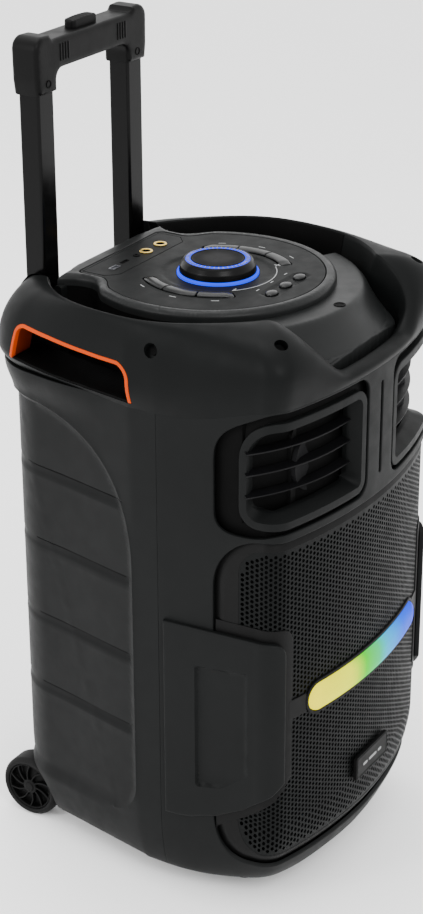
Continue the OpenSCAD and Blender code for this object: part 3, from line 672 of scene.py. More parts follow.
# ---- zones of the front, in s and v; the right half's are given
S_CREASE = s_at_y(WIDEST_Y)
V_BASE = TUCK_Z - TUCK_RUN


def grille_zone(off):
    s = s_at_y(102) + off
    low, high = float(v_at_z(64)) - off, 472 + off
    return rounded(-s, s, low, high, np.array([62, 62, 46, 46]) + off, 10)


def mesh_zone(off):
    """The perforated part inside the grille's border."""
    return rounded(-217 - off, 217 + off, float(v_at_z(64)) + 13 - off, 461 + off, 32 + off, 10)


def window_groove(side):
    """The sunk border round a window; its outer top corner is cut off wide."""
    s0, s1 = 28.0, s_at_y(101)
    top, bottom, r = 618, 481, 18
    outline = np.concatenate([
        bezier([(s1, 560), (s1, 592), (214, 600), (197, 609)], 8),
        bezier([(197, 609), (188, 614), (180, top), (168, top)], 5)[1:],
        arc(s0 + r, top - r, r, 90, 180, 6), arc(s0 + r, bottom + r, r, 180, 270, 6),
        bezier([(160, bottom), (185, bottom), (188, 474), (212, 474)], 6),
        bezier([(212, 474), (236, 474), (s1, 480), (s1, 500)], 7)[1:]])
    return to_side(side, outline)


def window_frame(side, off):
    """Outline of a window's frame, grown by off."""
    s0, s1 = 31.0 - off, s_at_y(73) + off
    outline = rounded(s0, s1, 486 - off, 607 + off, np.array([45, 20, 16, 22]) + off, 10)
    return to_side(side, outline)


def pad_outline(side, off=0.0):
    y0 = s_at_y(25) - off
    y1 = s_at_y(160)
    s = [s_at_y(y) for y in (33, 65, 98, 127, 141)]
    v = v_at_z([166, 141, 124, 115, 113]) - off
    outline = np.concatenate([
        arc(y0 + 15, 355 + off - 15, 15, 180, 90, 6), [[y1, 357 + off], [y1, v[4]]],
        np.stack([s, v], 1)[::-1], [[y0, float(v_at_z(181))]]])
    outline = outline[::-1]
    return to_side(side, outline)


# ---------------------------------------------------------------- front fascia
front_top = [(s, float(top_v(s))) for s in np.linspace(S_CREASE, -S_CREASE, 70)]
front_loop = np.array([(-S_CREASE, V_BASE), (S_CREASE, V_BASE)] + front_top)
slot_loop = rounded(-2.2, 2.2, 496, 603, 2, 5)
relief("front_case", [front_loop, grille_zone(0), window_groove(1), window_groove(-1), slot_loop], skin,
       CHARCOAL, thick=4, cell=7, r=1.4, node="front_shell")
# painted shade: a near-black floor set in the narrow front slot
relief("front_slot_floor", [rounded(-4, 4, 492, 607, 2)], skin, BLACK_AND_SHADE, height=-3.2, thick=1.5, cell=6, r=0,
       slot="charcoal")


def frame_height(s, v):
    d = distance(np.stack([s, v], 1), spaced(grille_zone(1), 6))
    return -7 + 4.4 * smooth(d / 11)


relief("grille_border", [grille_zone(3), mesh_zone(0)], skin, BLACK, height=frame_height, under=-9, cell=5,
       r=0.7, node="grille_frame")


# ---- perforated sheet
HOLE_R = 2.15
ROW = 5.85
COLUMN = 5.6
SHEET_OUT, SHEET_IN = -3.0, -4.2


def perforated():
    edge = mesh_zone(1)
    gap = rounded(-122, 122, 251, 281, 14.9, 8)
    low, high = edge.min(0), edge.max(0)
    columns = np.arange(0, high[0], COLUMN)
    centres = []
    for i, s in enumerate(columns):
        for v in np.arange(low[1], high[1], ROW) + (ROW / 2 if i % 2 else 0):
            centres += [(s, v)] if i == 0 else [(s, v), (-s, v)]
    centres = np.array(centres)
    outer = spaced(edge, 6)
    near = inside(centres, outer) & (distance(centres, outer) > 4.5)
    near &= ~inside(centres, gap) & (distance(centres, spaced(gap, 6)) > 4.2)
    centres = centres[near]
    a = np.linspace(0, math.tau, 8, endpoint=False)
    ring = HOLE_R * np.stack([np.cos(a), np.sin(a)], 1)
    points, edges = [], []
    for loop in [outer, spaced(gap, 6), *(c + ring for c in centres)]:
        base, n = len(points), len(loop)
        points += list(loop)
        edges += [(base + i, base + (i + 1) % n) for i in range(n)]
    xy, tris, middle = delaunay(points, edges)
    ok = inside(middle, outer) & ~inside(middle, spaced(gap, 6))
    nearest = KDTree(len(centres))
    for i, c in enumerate(centres):
        nearest.insert((*c, 0), i)
    nearest.balance()
    ok &= np.array([nearest.find((*m, 0))[2] > HOLE_R * 0.9 for m in middle])
    tris = tris[ok]
    verts = np.concatenate([skin(*xy.T, SHEET_OUT), skin(*xy.T, SHEET_IN)])
    make("perforated_front", verts, plate_faces(tris, len(xy)), GRILLE, node="grille", angle=50)


perforated()
# painted shade: a near-black sheet behind the perforated sheet, so the holes read dark
relief("grille_back_shade", [grille_zone(-6)], skin, BLACK_AND_SHADE, height=-11, thick=1, cell=14, r=0, slot="charcoal")


# ---- light band
def pill(grow, n=8):
    """The light band's outline, grown by a distance."""
    return rounded(-124 - grow, 124 + grow, 249.5 - grow, 282.5 + grow, 16.4 + grow, n)


def band_dome(s, v):
    edge = distance(np.stack([s, v], 1), spaced(pill(0), 4))
    return -1.5 + 6.3 * np.sqrt(np.clip(1 - (1 - np.clip(edge / 13, 0, 1)) ** 2, 0, 1))


relief("light_strip", [pill(0)], skin, LIGHT, height=band_dome, under=-3, cell=3, r=0,
       extra=[shifted(pill(0), k) for k in (0.8, 2.4)], node="light_band")
relief("light_rim", [pill(4.5, 10), pill(0.4, 10)], skin, BLACK, height=-0.6, under=-3.4, cell=4,
       r=1.0, node="light_bezel")
for side, name in SIDES:
    s0, s1 = sorted((side * 127, side * (s_at_y(25) - 8)))
    relief("light_neck_" + name, [rounded(s0, s1, 254, 278, 2)], skin, BLACK, height=-1.4, under=-3.4, cell=5,
           r=0.8)

# ---- badge: a plain plate with a raised border and three dashes
relief("badge_plate", [rounded(-38, 38, 121, 151, 3)], facing_front(0), BLACK, height=2.2, under=-2, cell=6,
       r=0.8, node="badge")
relief("badge_border", [rounded(-36.5, 36.5, 122.5, 149.5, 2.2), rounded(-35, 35, 124, 148, 1.6)],
       facing_front(0), PANEL, height=2.7, under=2, cell=6, r=0.2)
for i, (x0, x1) in enumerate(((-22, -12), (-8, 10), (14, 22))):
    relief("badge_dash_%d" % (i + 1), [rounded(x0, x1, 134, 137.5, 1.5)], facing_front(0), PRINT, height=2.5,
           under=2, cell=6, r=0.15)


# ---- underside
s_round = np.linspace(-PLAN_END, PLAN_END, 260)[:-1]
base_loop = skin(s_round, np.full(len(s_round), V_BASE), -1.0)[:, :2]
wheel_wells = [rounded(min(e * 104, e * 200), max(e * 104, e * 200), 344, 420, 2) for e in (1, -1)]
relief("underside", [base_loop, *wheel_wells], flat, BLACK, height=30, under=25.4, cell=16, r=0,
       node="base_plate")


# ---- windows: sunk border, frame with sloping inner walls, three curved blades before a near-black sheet of painted shade
BLADE_Z = (522, 547, 571)
BLADE_SECTION = ((12, 2.4), (9, 2.0), (4, 1.1), (0.4, 0.4), (0, -0.4), (0.4, -1.2), (4, -0.9), (9, -0.4),
                 (12, 0))


def blade_points(side, section):
    """Rows of points: a section of (distance inwards, z) carried along the blades' front edge."""
    k = np.linspace(0, 1, 30)[:, None]
    path = (1 - k) ** 2 * np.array([[44, 14]]) + 2 * k * (1 - k) * np.array([[125, 16]])
    path = path + k ** 2 * np.array([[180, 61]])
    along = np.gradient(path, axis=0)
    inward = np.stack([-along[:, 1], along[:, 0]], 1) / np.linalg.norm(along, axis=1)[:, None]
    return np.array([[(side * (x + wx * deep), y + wy * deep, z) for deep, z in section]
                     for (x, y), (wx, wy) in zip(path, inward)])


def window(side, name):
    outer, frame_out = window_groove(side), window_frame(side, 0)
    opening = window_frame(side, -9)
    far_edge, inner = spaced(outer, 5), spaced(opening, 3)

    def border_height(s, v):
        return -8.5 + 1.2 * smooth(distance(np.stack([s, v], 1), far_edge) / 12)

    def frame_top(s, v):
        p = np.stack([s, v], 1)
        return -0.6 - 2.6 * np.where(inside(p, inner), distance(p, inner), 0)

    grown = shifted(outer, -2.0 if area(outer) > 0 else 2.0)
    # painted shade: the sunk border round the frame in near black
    relief("window_border_" + name, [grown, frame_out], skin, BLACK_AND_SHADE, height=border_height, under=-11,
           cell=5, r=0)
    sunk = to_side(side, rounded(46, s_at_y(73) - 10.2, 501, 596, np.array([34, 12, 10, 12]), 10))
    relief("window_frame_" + name, [frame_out, sunk], skin, CHARCOAL, height=frame_top, under=-22, cell=4,
           r=1.2, lines=[looped(opening)], node="window_frames")
    relief("window_wall_" + name, [window_frame(side, -1), window_frame(side, -7)], skin, CHARCOAL,
           height=-2.5, under=-20, cell=6, r=0)
    # painted shade: a near-black sheet behind the blades
    sheet = blade_points(side, ((13, 488), (13, 605), (14.2, 605), (14.2, 488)))
    fixed(loft("window_back_shade_" + name, sheet, BLACK_AND_SHADE))
    blades = [blade_points(side, [(deep, z + dz) for deep, dz in BLADE_SECTION]) for z in BLADE_Z]
    n, m = blades[0].shape[:2]
    faces = sum([tube_faces(n, m, n * m * i) for i in range(len(blades))], [])
    fixed(make("window_blades_" + name, np.reshape(blades, (-1, 3)), faces, BLADE, node="louvres"))


for side, name in SIDES:
    window(side, name)


# ---- corner pads with a sunk palm recess
def pad(side, name):
    recess = np.array([(s_at_y(60), 186.0), (s_at_y(60), 315.0), (s_at_y(122), 311.0), (s_at_y(122), 157.0),
                       (s_at_y(92), 162.0)])
    recess = recess if side > 0 else recess * [-1, 1]
    line = spaced(recess, 3)
    outline = pad_outline(side)

    def height(s, v):
        p = np.stack([s, v], 1)
        d = distance(p, line)
        d = np.where(inside(p, line), d, -d)
        lean = smooth((s_at_y(122) - np.abs(s)) / (s_at_y(122) - s_at_y(60)))
        sink = (4.2 - 2.2 * lean) * smooth(d / 2.6)
        return 5.0 - sink

    relief("corner_pad_" + name, [outline], skin, CHARCOAL, height=height, under=-0.5, cell=3.2, r=2.2,
           lines=[looped(line)], node="side_pad_" + name)
    under = pad_outline(side, 13)
    under[:, 0] = np.sign(under[:, 0]) * np.minimum(np.abs(under[:, 0]), s_at_y(100))
    relief("pad_border_" + name, [under], skin, BLACK, height=-1.6, under=-3.6, cell=6, r=0.9)


for side, name in SIDES:
    pad(side, name)


# ---------------------------------------------------------------- rear of the cabinet
def s_at_rear(x):
    rear = PLAN[:, 1] > 380
    return float(np.interp(x, PLAN[rear, 0][::-1], PLAN_S[rear][::-1]))


def around(u, v, off):
    """The same surface with s running on past the rear's middle to the left side."""
    return skin(np.where(u > PLAN_END, u - 2 * PLAN_END, u), v, off)


def rear_mirror(loop):
    return np.asarray(loop)[::-1] * [-1, 1] + [2 * PLAN_END, 0]


RIM_END = 108.0
S_REAR = s_at_rear(RIM_END)
rib_curve = np.concatenate([
    bezier([(380, 566), (300, 566), (204, 545), (200, 410)], 30), [[200, 150]],
    arc(245, 130, 45, 180, 260, 10)])
rib_line = np.array([(s_at_y(y), float(v_at_z(z))) for y, z in rib_curve])
rib_zone = np.vstack([[(S_REAR, 566)], rib_line, [(S_REAR, rib_line[-1][1] - 6)]])
GROOVES = (206, 297, 392, 483)


def rear_height(u, v):
    u = np.where(u > PLAN_END, 2 * PLAN_END - u, u)
    p = np.stack([u, v], 1)
    zone = spaced(rib_zone, 3)
    d = distance(p, zone)
    signed = np.where(inside(p, zone), d, -d)
    h = -(2.2 + 2.8 * smooth((u - s_at_y(215)) / 110)) * smooth(signed / 8)
    flare = smooth((u - s_at_y(225)) / 90) * smooth((v - 560) / 36) * (1 - smooth(signed / 4))
    h = h + 8.5 * flare
    curve = distance(p, spaced(rib_line, 3), False)
    h = h + 0.6 * np.exp(-(curve / 1.2) ** 2)
    within = smooth((signed - 6.5) / 3)
    for z in GROOVES:
        t = v - z
        floor_side = 1 - 0.15 * smooth(-t / 5) - 0.85 * smooth((-t - 5) / 6)
        dip = np.where(t > 0, 1 - smooth(t / 1.4), floor_side)
        dip = np.where((t < 1.4) & (t > -11), dip, 0)
        h = h + 0.7 * np.exp(-((t + 12.5) / 1.6) ** 2) * within
        h = h - 3.6 * dip * within * (1 - 0.5 * smooth((u - s_at_y(250)) / 90))
    return h


wheel_arc = arc(389, 38.3, 45, 180, 72, 14)
notch = [(s_at_y(344), V_BASE - 6)]
notch += [(s_at_y(min(y, 394)), float(v_at_z(z))) for y, z in wheel_arc if y < 394]
s_inner = s_at_rear(104)
notch += [(s_inner, float(v_at_z(80))), (s_inner, V_BASE - 6)]
notch = np.array(notch)
rear_top = np.array([(u, float(top_v(u))) for u in np.linspace(S_CREASE, S_REAR, 50)] + [(S_REAR, 590)])
rear_loop = np.vstack([[(S_CREASE, V_BASE), (2 * PLAN_END - S_CREASE, V_BASE)],
                       rear_top * [-1, 1] + [2 * PLAN_END, 0], rear_top[::-1]])
port_low, port_high = node_box("bass_port")
port_z = (port_low[2] + port_high[2]) / 2
inlet_low, inlet_high = node_box("charge_inlet")
inlet_z = (inlet_low[2] + inlet_high[2]) / 2
rib_marks = []
for z in GROOVES:
    for dz in (1.4, 0.7, 0.0, -5.0, -8.0, -11.0):
        mark = np.array([(s_at_y(206), z + dz), (S_REAR - 4, z + dz)])
        rib_marks += [mark, rear_mirror(mark)]
rib_edges = []
for k in (-1.2, 0.0, 1.2, 4.0, 8.0):
    moved = rib_line + [k, 0]
    rib_edges += [spaced(moved, 3, False), rear_mirror(spaced(moved, 3, False))]
relief("rear_case", [rear_loop, notch, rear_mirror(notch), ellipse(PLAN_END, port_z, 41, 41, 64),
                     ellipse(PLAN_END, inlet_z, 8.2, 8.2, 32)], around, CHARCOAL, height=rear_height, thick=4,
       cell=6, r=0.5, lines=rib_marks, extra=rib_edges, node="rear_shell")


def shadow_height(u, v):
    return rear_height(u, v) + 0.25


for i, z in enumerate(GROOVES):
    a = s_at_y(206 if z < 450 else 219)
    strip = np.array([(a + 8, z - 2.3), (a + 150, z - 0.9), (a + 150, z - 0.3), (a + 8, z - 0.3)])
    for name, loop in (("right", strip), ("left", rear_mirror(strip))):
        relief("rib_shadow_%s_%d" % (name, i + 1), [loop], around, BLACK_AND_SHADE, height=shadow_height, under=-9,
               cell=4, r=0, slot="charcoal")
for side, name in SIDES:
    s0, s1 = sorted((side * (S_CREASE - 3), side * (S_CREASE + 3)))
    seam = np.array([(s0, V_BASE + 1), (s1, V_BASE + 1), (s1, 598), (s0, 598)])
    relief("seam_filler_" + name, [seam], skin, CHARCOAL, height=-0.3, under=-2, cell=6, r=0)

# ---------------------------------------------------------------- rim
RIM_C = np.array([0.0, 210.0])
CREST_R = 183.0
CREST_Z = 696.0
LIP_Z = 634.0
LIP_IN = 10.0
BULGE = 9.0
OUTER_POINTS = 26


def around_angle(x, y):
    return np.degrees(np.arctan2(np.abs(x), RIM_C[1] - y))


def crest_z(x, y):
    angle = around_angle(x, y)
    rise = (CREST_Z - LIP_Z) * smooth((angle - 17) / 24)
    return LIP_Z + rise - 2.5 * smooth((angle - 55) / 30) - 6 * smooth((angle - 95) / 45)


def crest_o(x, y):
    r = np.hypot(x - RIM_C[0], y - RIM_C[1])
    return -LIP_IN + (CREST_R - r + LIP_IN) * smooth((around_angle(x, y) - 24) / 18)


def rim_profile(b, c, f):
    """Bulge b at the share f of the height, crest at c."""
    low = [(b * math.sin(math.pi / 2 * k) ** 0.9, f * k) for k in np.linspace(0, 0.92, 9)]
    a = np.radians(np.linspace(0, 86, 18))
    high = [(c + (b - c) * math.cos(t), f + (1 - f) * math.sin(t)) for t in a]
    inner = [(c - 1.0, 0.999), (c - 2.2, 0.985), (c - 3.4, 0.95), (c - 5, 0.86), (c - 7, 0.74), (c - 9, 0.6),
             (c - 10, 0.5), (c - 11, 0.25), (c - 12, 0.0)]
    return np.array(low + high + inner)


def rim_rows(path):
    rows = []
    for x, y in path:
        u = np.array([x - RIM_C[0], y - RIM_C[1]])
        u /= np.linalg.norm(u)
        b = 2 + (BULGE - 2) * float(smooth((abs(x) - 90) / 90))
        b += 9 * float(smooth((y - 205) / 110) * smooth((abs(x) - 104) / 40))
        f = 0.45 - 0.12 * smooth((around_angle(x, y) - 50) / 40) - 0.08 * smooth((y - 220) / 100)
        q = rim_profile(b, float(crest_o(x, y)), float(f))
        zb = float(rim_base(y))
        h = float(crest_z(x, y)) - zb
        row = np.stack([x + u[0] * q[:, 0], y + u[1] * q[:, 0], zb + h * q[:, 1]], 1)
        if y > 330:
            row[:, 0] = math.copysign(1, x) * np.maximum(np.abs(row[:, 0]), RIM_END + 0.4)
        rows.append(row)
    return np.array(rows)


s_path = np.arange(1.5, S_REAR + 2, 3.5)
right_path = np.stack([np.interp(s_path, PLAN_S, PLAN[:, 0]), np.interp(s_path, PLAN_S, PLAN[:, 1])], 1)
rim_path = np.vstack([right_path[::-1] * [-1, 1], right_path])
RIM_ROWS = rim_rows(rim_path)


# the hand slot, in y and z: its arched top and its lower edge
SLOT_ARCH = np.concatenate([
    arc(214, 629, 20, 180, 105, 8), [[233, 648.6], [268, 650.8], [303, 653.4]], arc(341, 638, 17, 98, 25, 8),
    [[363, 619]]])
SLOT_LOW = np.array([(365, 613), (336, 609.5), (309, 606.6), (283, 604.6), (258, 603), (230, 602),
                     (194, 602)])


def slot_cutter(side):
    x0, x1 = sorted((side * 120, side * 260))
    return prism(np.vstack([SLOT_ARCH, SLOT_LOW]), along_x(x0, x1))


def drill(centre, direction, r, back, ahead):
    """A round cutter along a direction."""
    d = Vector(direction).normalized()
    side = d.orthogonal().normalized()
    other = d.cross(side)
    side, other, d = np.array(side), np.array(other), np.array(d)

    def lay(p, end):
        base = np.array(centre) + d * (ahead if end else -back)
        return base + p[:, :1] * side + p[:, 1:] * other

    return prism(ellipse(0, 0, r, r, 32), lay)


rim = fixed(loft("rim_shell", RIM_ROWS, RIM, node="rim_ring"))
cutters = []
for side in (1, -1):
    cutters.append(slot_cutter(side))
    cutters.append(drill((side * 193, 168, 668), (side * 0.866, 0, 0.5), 7.6, 9, 30))
    cutters.append(drill((side * 150, 40, 684), (side * 0.413, -0.492, 0.766), 7.2, 9, 30))
cut(rim, cutters)
# painted shade: a near-black sheet laid just over the rim's inner wall, where the rim's own plastic lies in
# shade
painted_shade_rows = []
for row in RIM_ROWS[:, OUTER_POINTS + 1:]:
    u = row[0, :2] - RIM_C
    u = np.append(u / np.linalg.norm(u), 0)
    painted_shade_rows.append(np.vstack([row[1:] - 0.6 * u, row[1:][::-1] + 0.5 * u]))
painted_shade_rows = np.array(painted_shade_rows)
for side, name in SIDES:
    part = painted_shade_rows[(rim_path[:, 0] * side > 0) & (around_angle(*rim_path.T) > 66)]
    painted_shade_piece = fixed(loft("rim_inner_shade_" + name, part, BLACK_AND_SHADE, slot="charcoal"))
    cut(painted_shade_piece, [slot_cutter(side)])

# the outer face of the rim's side as a table, to lay the trims on it
outer_face = RIM_ROWS[:, :OUTER_POINTS].reshape(-1, 3)
outer_face = outer_face[(outer_face[:, 0] > 140) & (outer_face[:, 1] > 170)]


def rim_x(y, z):
    d = (outer_face[:, 1] - y) ** 2 + (outer_face[:, 2] - z) ** 2
    near = outer_face[np.argsort(d)[:10]]
    a = np.stack([np.ones(len(near)), near[:, 1] - y, near[:, 2] - z], 1)
    return float(np.linalg.lstsq(a, near[:, 0], rcond=None)[0][0])


def trim(side, name):
    line = np.vstack([[(194, 603)], SLOT_ARCH, [(365, 614)]])
    line = spaced(line, 3, False)
    ahead = np.gradient(line, axis=0)
    ahead /= np.linalg.norm(ahead, axis=1)[:, None]
    inward = np.stack([ahead[:, 1], -ahead[:, 0]], 1)
    rows, deep = [], []
    for p, n in zip(line, inward):
        q = p + n * 4.2
        xo, xi = rim_x(*p), rim_x(*q)
        outer = [(xo - 6, p), (xo - 1, p - n * 0.3), (xo + 0.5, p + n * 0.2), (xo + 0.9, p + n * 1.2),
                 (xi + 0.9, q - n * 1.2), (xi + 0.5, q - n * 0.2), (xi - 1, q), (xi - 6, q)]
        inner = [(xo - 34, p), (xo - 4, p), (xo - 3.5, p + n * 1.5), (xi - 3.5, q - n * 1.2),
                 (xi - 4, q - n * 0.6), (xi - 34, q - n * 0.6)]
        rows.append([(side * x, *w) for x, w in outer])
        deep.append([(side * x, *w) for x, w in inner])
    # painted shade: the trim's inner walls in a darker copy of the orange
    fixed(loft("slot_trim_inner_shade_" + name, deep, ORANGE_SHADE))
    fixed(loft("slot_trim_" + name, rows, ORANGE, node="slot_trims"))


def grip_mat(side, name):
    """A ridged pad on the hand slot's lower edge."""
    ys = np.linspace(198.5, 359, 29)
    zs = np.interp(ys, *SLOT_LOW[::-1].T) + 0.3
    rows = []
    for y, z in zip(ys, zs):
        edge = rim_x(y, z) - 1.2
        x = np.arange(edge - 52, edge, 0.75)
        ridge = 0.7 * np.abs(np.sin(math.pi * (x + 0.2 * y) / 3.4))
        top = np.stack([side * x, 0 * x + y, z + 1.2 + ridge], 1)
        rows.append(np.vstack([top, [(side * (edge + 0.4), y, z), (side * (edge - 52), y, z)]]))
    size = min(len(r) for r in rows)
    rows = [np.vstack([r[:size - 2], r[-2:]]) for r in rows]
    fixed(loft("grip_mat_" + name, rows, BLACK_AND_SHADE, node="grip_mats", slot="rubber"))


for side, name in SIDES:
    trim(side, name)
    grip_mat(side, name)

# ---------------------------------------------------------------- top deck
CTRL = np.array([0.0, 212.0])
KNOB = np.array([0.0, 205.0])
CAP_BASE = 684.5
NECK_X = 82.0
PANEL_Z = 688.0
PANEL_R = 124.0


def mirrored(half):
    half = np.asarray(half, float)
    return np.vstack([half, half[::-1] * [-1, 1]])


def panel_loop(off):
    r = PANEL_R + off
    p = CTRL + r * np.array([math.cos(math.pi / 6), 0.5])
    neck = bezier([p, p + 14 * np.array([-0.5, 0.87]), (NECK_X + off, 290), (NECK_X + off, 304)], 10)
    corner = arc(NECK_X + off - 8, 335 + off - 8, 8, 0, 90, 6)
    return mirrored(np.vstack([arc(*CTRL, r, -89.5, 30, 60), neck[1:], corner]))


def island_loop(off):
    r = PANEL_R + 12 + off
    p = CTRL + r * np.array([math.cos(math.radians(28)), math.sin(math.radians(28))])
    x = NECK_X + 9 + off
    neck = bezier([p, p + 16 * np.array([-0.5, 0.87]), (x, 296), (x, 314)], 10)
    flare = bezier([(x, 314), (x, 326), (x + 3, 336), (x + 13, 346)], 6)
    return mirrored(np.vstack([arc(*CTRL, r, -89.5, 28, 60), neck[1:], flare[1:], [(60, 352 + off)]]))


relief("island_core", [island_loop(-0.6)], flat, BLACK_AND_SHADE, height=677, under=591, cell=14, r=0.8, node="top_deck")
deck_edge = (PLAN - np.stack([PLAN_NX, PLAN_NY], 1) * 4.6)[PLAN[:, 1] > 104]
# painted shade: a near-black floor in the moat between the rim and the tray
relief("moat_floor", [mirrored(deck_edge)], flat, BLACK_AND_SHADE, height=596, under=592, cell=20, r=0)

profile_r = np.array([100, 163.5, 166.5, 168.5, 170.5, 174, 182, 190, 200, 211, 222, 240, 260])
profile_z = np.array([678, 678, 677.2, 675, 671.5, 664, 652, 643.6, 636, 631.4, 628, 624, 621])


def tray_z(r):
    z = sum(np.interp(r + k, profile_r, profile_z) for k in (-2.4, -1.2, 0, 1.2, 2.4)) / 5
    seam = np.clip(1 - np.abs(r - 191) / 1.1, 0, 1)
    return z - 1.0 * seam


tray_rows = []
for theta in np.linspace(-64, 64, 129):
    t = abs(theta)
    d = np.array([math.sin(math.radians(theta)), -math.cos(math.radians(theta))])
    probe = RIM_C + d * np.arange(150, 260, 0.5)[:, None]
    hit = inside(probe, mirrored(PLAN))
    p = probe[np.nonzero(hit)[0][-1]]
    edge = np.linalg.norm(p - RIM_C) + float(crest_o(*p)) - 12.2 - 7 * float(smooth((t - 22) / 14))
    edge = max(edge, 150)
    r = np.concatenate([[130], np.arange(134, edge - 2.4, 2.0), [edge - 2, edge - 1, edge - 0.3, edge]])
    r = np.interp(np.linspace(0, 1, 64), np.linspace(0, 1, len(r)), r)
    r[-4:] = [edge - 1.8, edge - 0.9, edge - 0.25, edge]
    xy = RIM_C + d * r[:, None]
    z = tray_z(np.linalg.norm(xy - CTRL, axis=1))
    z[-3:] -= [0.25, 0.8, 2.2]
    row = np.column_stack([xy, z])
    row = np.vstack([row, [(*xy[-1], z[-1] - 26), (*xy[0], 600)]])
    tray_rows.append(row)
fixed(loft("ledge_and_tray", tray_rows, BEZEL))
hump = rolled([(338, 591), (338, 678), (346.5, 678), (354, 668), (358, 653), (366, 648.5), (400, 646),
               (404.6, 640), (404.6, 591)], 5)
hump_rows = [[(x, y, z) for y, z in hump] for x in np.linspace(-107.6, 107.6, 12)]
fixed(loft("rear_shoulder", hump_rows, CHARCOAL))
hole_profile = [(6.6, 678.1), (6.3, 678.7), (4.6, 678.6), (4.2, 677.6), (4.2, 678.15), (0.01, 678.15)]
lathe("ledge_screw_seat", hole_profile, (0, 54, 0), BLACK_AND_SHADE, n=40, caps=False)


def bezel_height(u, v):
    p = np.stack([u, v], 1)
    outer = distance(p, spaced(island_loop(0), 4))
    return 688.8 - drop(outer, 7) - 0.5 * smooth((outer - 6) / 6)


relief("panel_surround", [island_loop(0), panel_loop(0.5)], flat, BEZEL, height=bezel_height, under=676.5,
       cell=4, r=0.8, extra=[shifted(island_loop(0), k) for k in (0.3, 0.8, 1.6, 2.8, 4.4, 6.2)],
       node="panel_bezel", slot="charcoal")

# ---------------------------------------------------------------- control panel
ARC_IN, ARC_OUT = 71.0, 84.0
ARC_FROM, ARC_STEP = 137.0, 29.0
OVALS = [(-30, 120), (0, 120), (30, 120)]
PLATE = np.array([(-64, 290.5), (64, 290.5), (76.8, 302), (76.8, 331), (-76.8, 331), (-76.8, 302)])


def sector(centre, r0, r1, a0, a1, corner=2.5):
    """An arc-shaped outline with rounded corners."""
    da = math.degrees(corner / r1)
    db = math.degrees(corner / r0)
    outer = arc(*centre, r1, a0 + da, a1 - da, 14)
    inner = arc(*centre, r0, a1 - db, a0 + db, 14)

    def point(r, a):
        return centre + r * np.array([math.cos(math.radians(a)), math.sin(math.radians(a))])

    def turn(p, q, w):
        return bezier([p, p + (q - p) * 0.6, w + (q - w) * 0.6, w], 4)[1:-1]

    end = turn(outer[-1], point(r1, a1), point(r1 - corner, a1))
    end2 = turn(point(r0 + corner, a1), point(r0, a1), inner[0])
    start = turn(inner[-1], point(r0, a0), point(r0 + corner, a0))
    start2 = turn(point(r1 - corner, a0), point(r1, a0), outer[0])
    return np.vstack([outer, end, [point(r1 - corner, a1), point(r0 + corner, a1)], end2, inner, start,
                      [point(r0 + corner, a0), point(r1 - corner, a0)], start2])


channel = sector(KNOB, ARC_IN - 1.3, ARC_OUT + 1.3, ARC_FROM - 1.4, ARC_FROM + 3 * ARC_STEP + 0.6, 4)
channels = [channel, mirror(channel)]
oval_recess = rounded(-43, 43, 109.5, 130.5, 10.4, 8)


def panel_height(u, v):
    p = np.stack([u, v], 1)
    r = np.linalg.norm(p - KNOB, axis=1)
    h = PANEL_Z - 1.5 * smooth((63 - r) / 5)
    line = spaced(oval_recess, 3)
    d = np.where(inside(p, line), distance(p, line), 0)
    return h - 1.3 * smooth(d / 2)


relief("control_face", [panel_loop(-0.5), arc(*KNOB, 45.3, 0, 355, 72), *channels,
                        *[ellipse(x, y, 9.0, 6.5) for x, y in OVALS], PLATE],
       flat, PANEL, height=panel_height, thick=2.6, cell=3.2, r=0.5,
       lines=[looped(oval_recess)],
       extra=[arc(*KNOB, k, 0, 355, 90) for k in (57, 60, 63.5)], node="control_panel")
# painted shade: a near-black sheet seen through the gap round the control face
relief("control_gap", [panel_loop(2)], flat, BLACK_AND_SHADE, height=681, under=679.6, cell=16, r=0)

for i in range(6):
    a = ARC_FROM + ARC_STEP * (i % 3) + 0.5
    outline = sector(KNOB, ARC_IN, ARC_OUT, a, a + ARC_STEP - 1.0, 2.0)
    tip = {0: a, 2: a + ARC_STEP - 1.0}.get(i % 3)
    if i >= 3:
        outline = mirror(outline)

    def crown(u, v, tip=tip):
        r = np.hypot(np.abs(u) - KNOB[0], v - KNOB[1])
        across = np.clip((r - 77.5) / 8.2, -1, 1)
        h = PANEL_Z - 0.4 + 3.0 * np.sqrt(1 - across ** 2)
        if tip is not None:
            angle = np.degrees(np.arctan2(v - KNOB[1], -np.abs(u))) % 360
            h = h - 1.6 * (1 - smooth(np.abs(angle - tip) / 7))
        return h

    relief("cap_arc_button_%d" % (i + 1), [outline], flat, KEY, height=crown, under=CAP_BASE, cell=2.2, r=1.2,
           body="arc_key_%d" % (i + 1), node="arc_button_%d" % (i + 1))
for i, (x, y) in enumerate(OVALS):
    def crown(u, v, x=x, y=y):
        t = np.clip(((u - x) / 9.5) ** 2 + ((v - y) / 7) ** 2, 0, 1)
        return PANEL_Z - 0.8 + 3.0 * np.sqrt(1 - t)

    relief("cap_round_%d" % (i + 1), [ellipse(x, y, 8.5, 6.0)], flat, KEY, height=crown, under=CAP_BASE,
           cell=1.8, r=1.0, body="round_key_%d" % (i + 1), node="round_button_%d" % (i + 1))

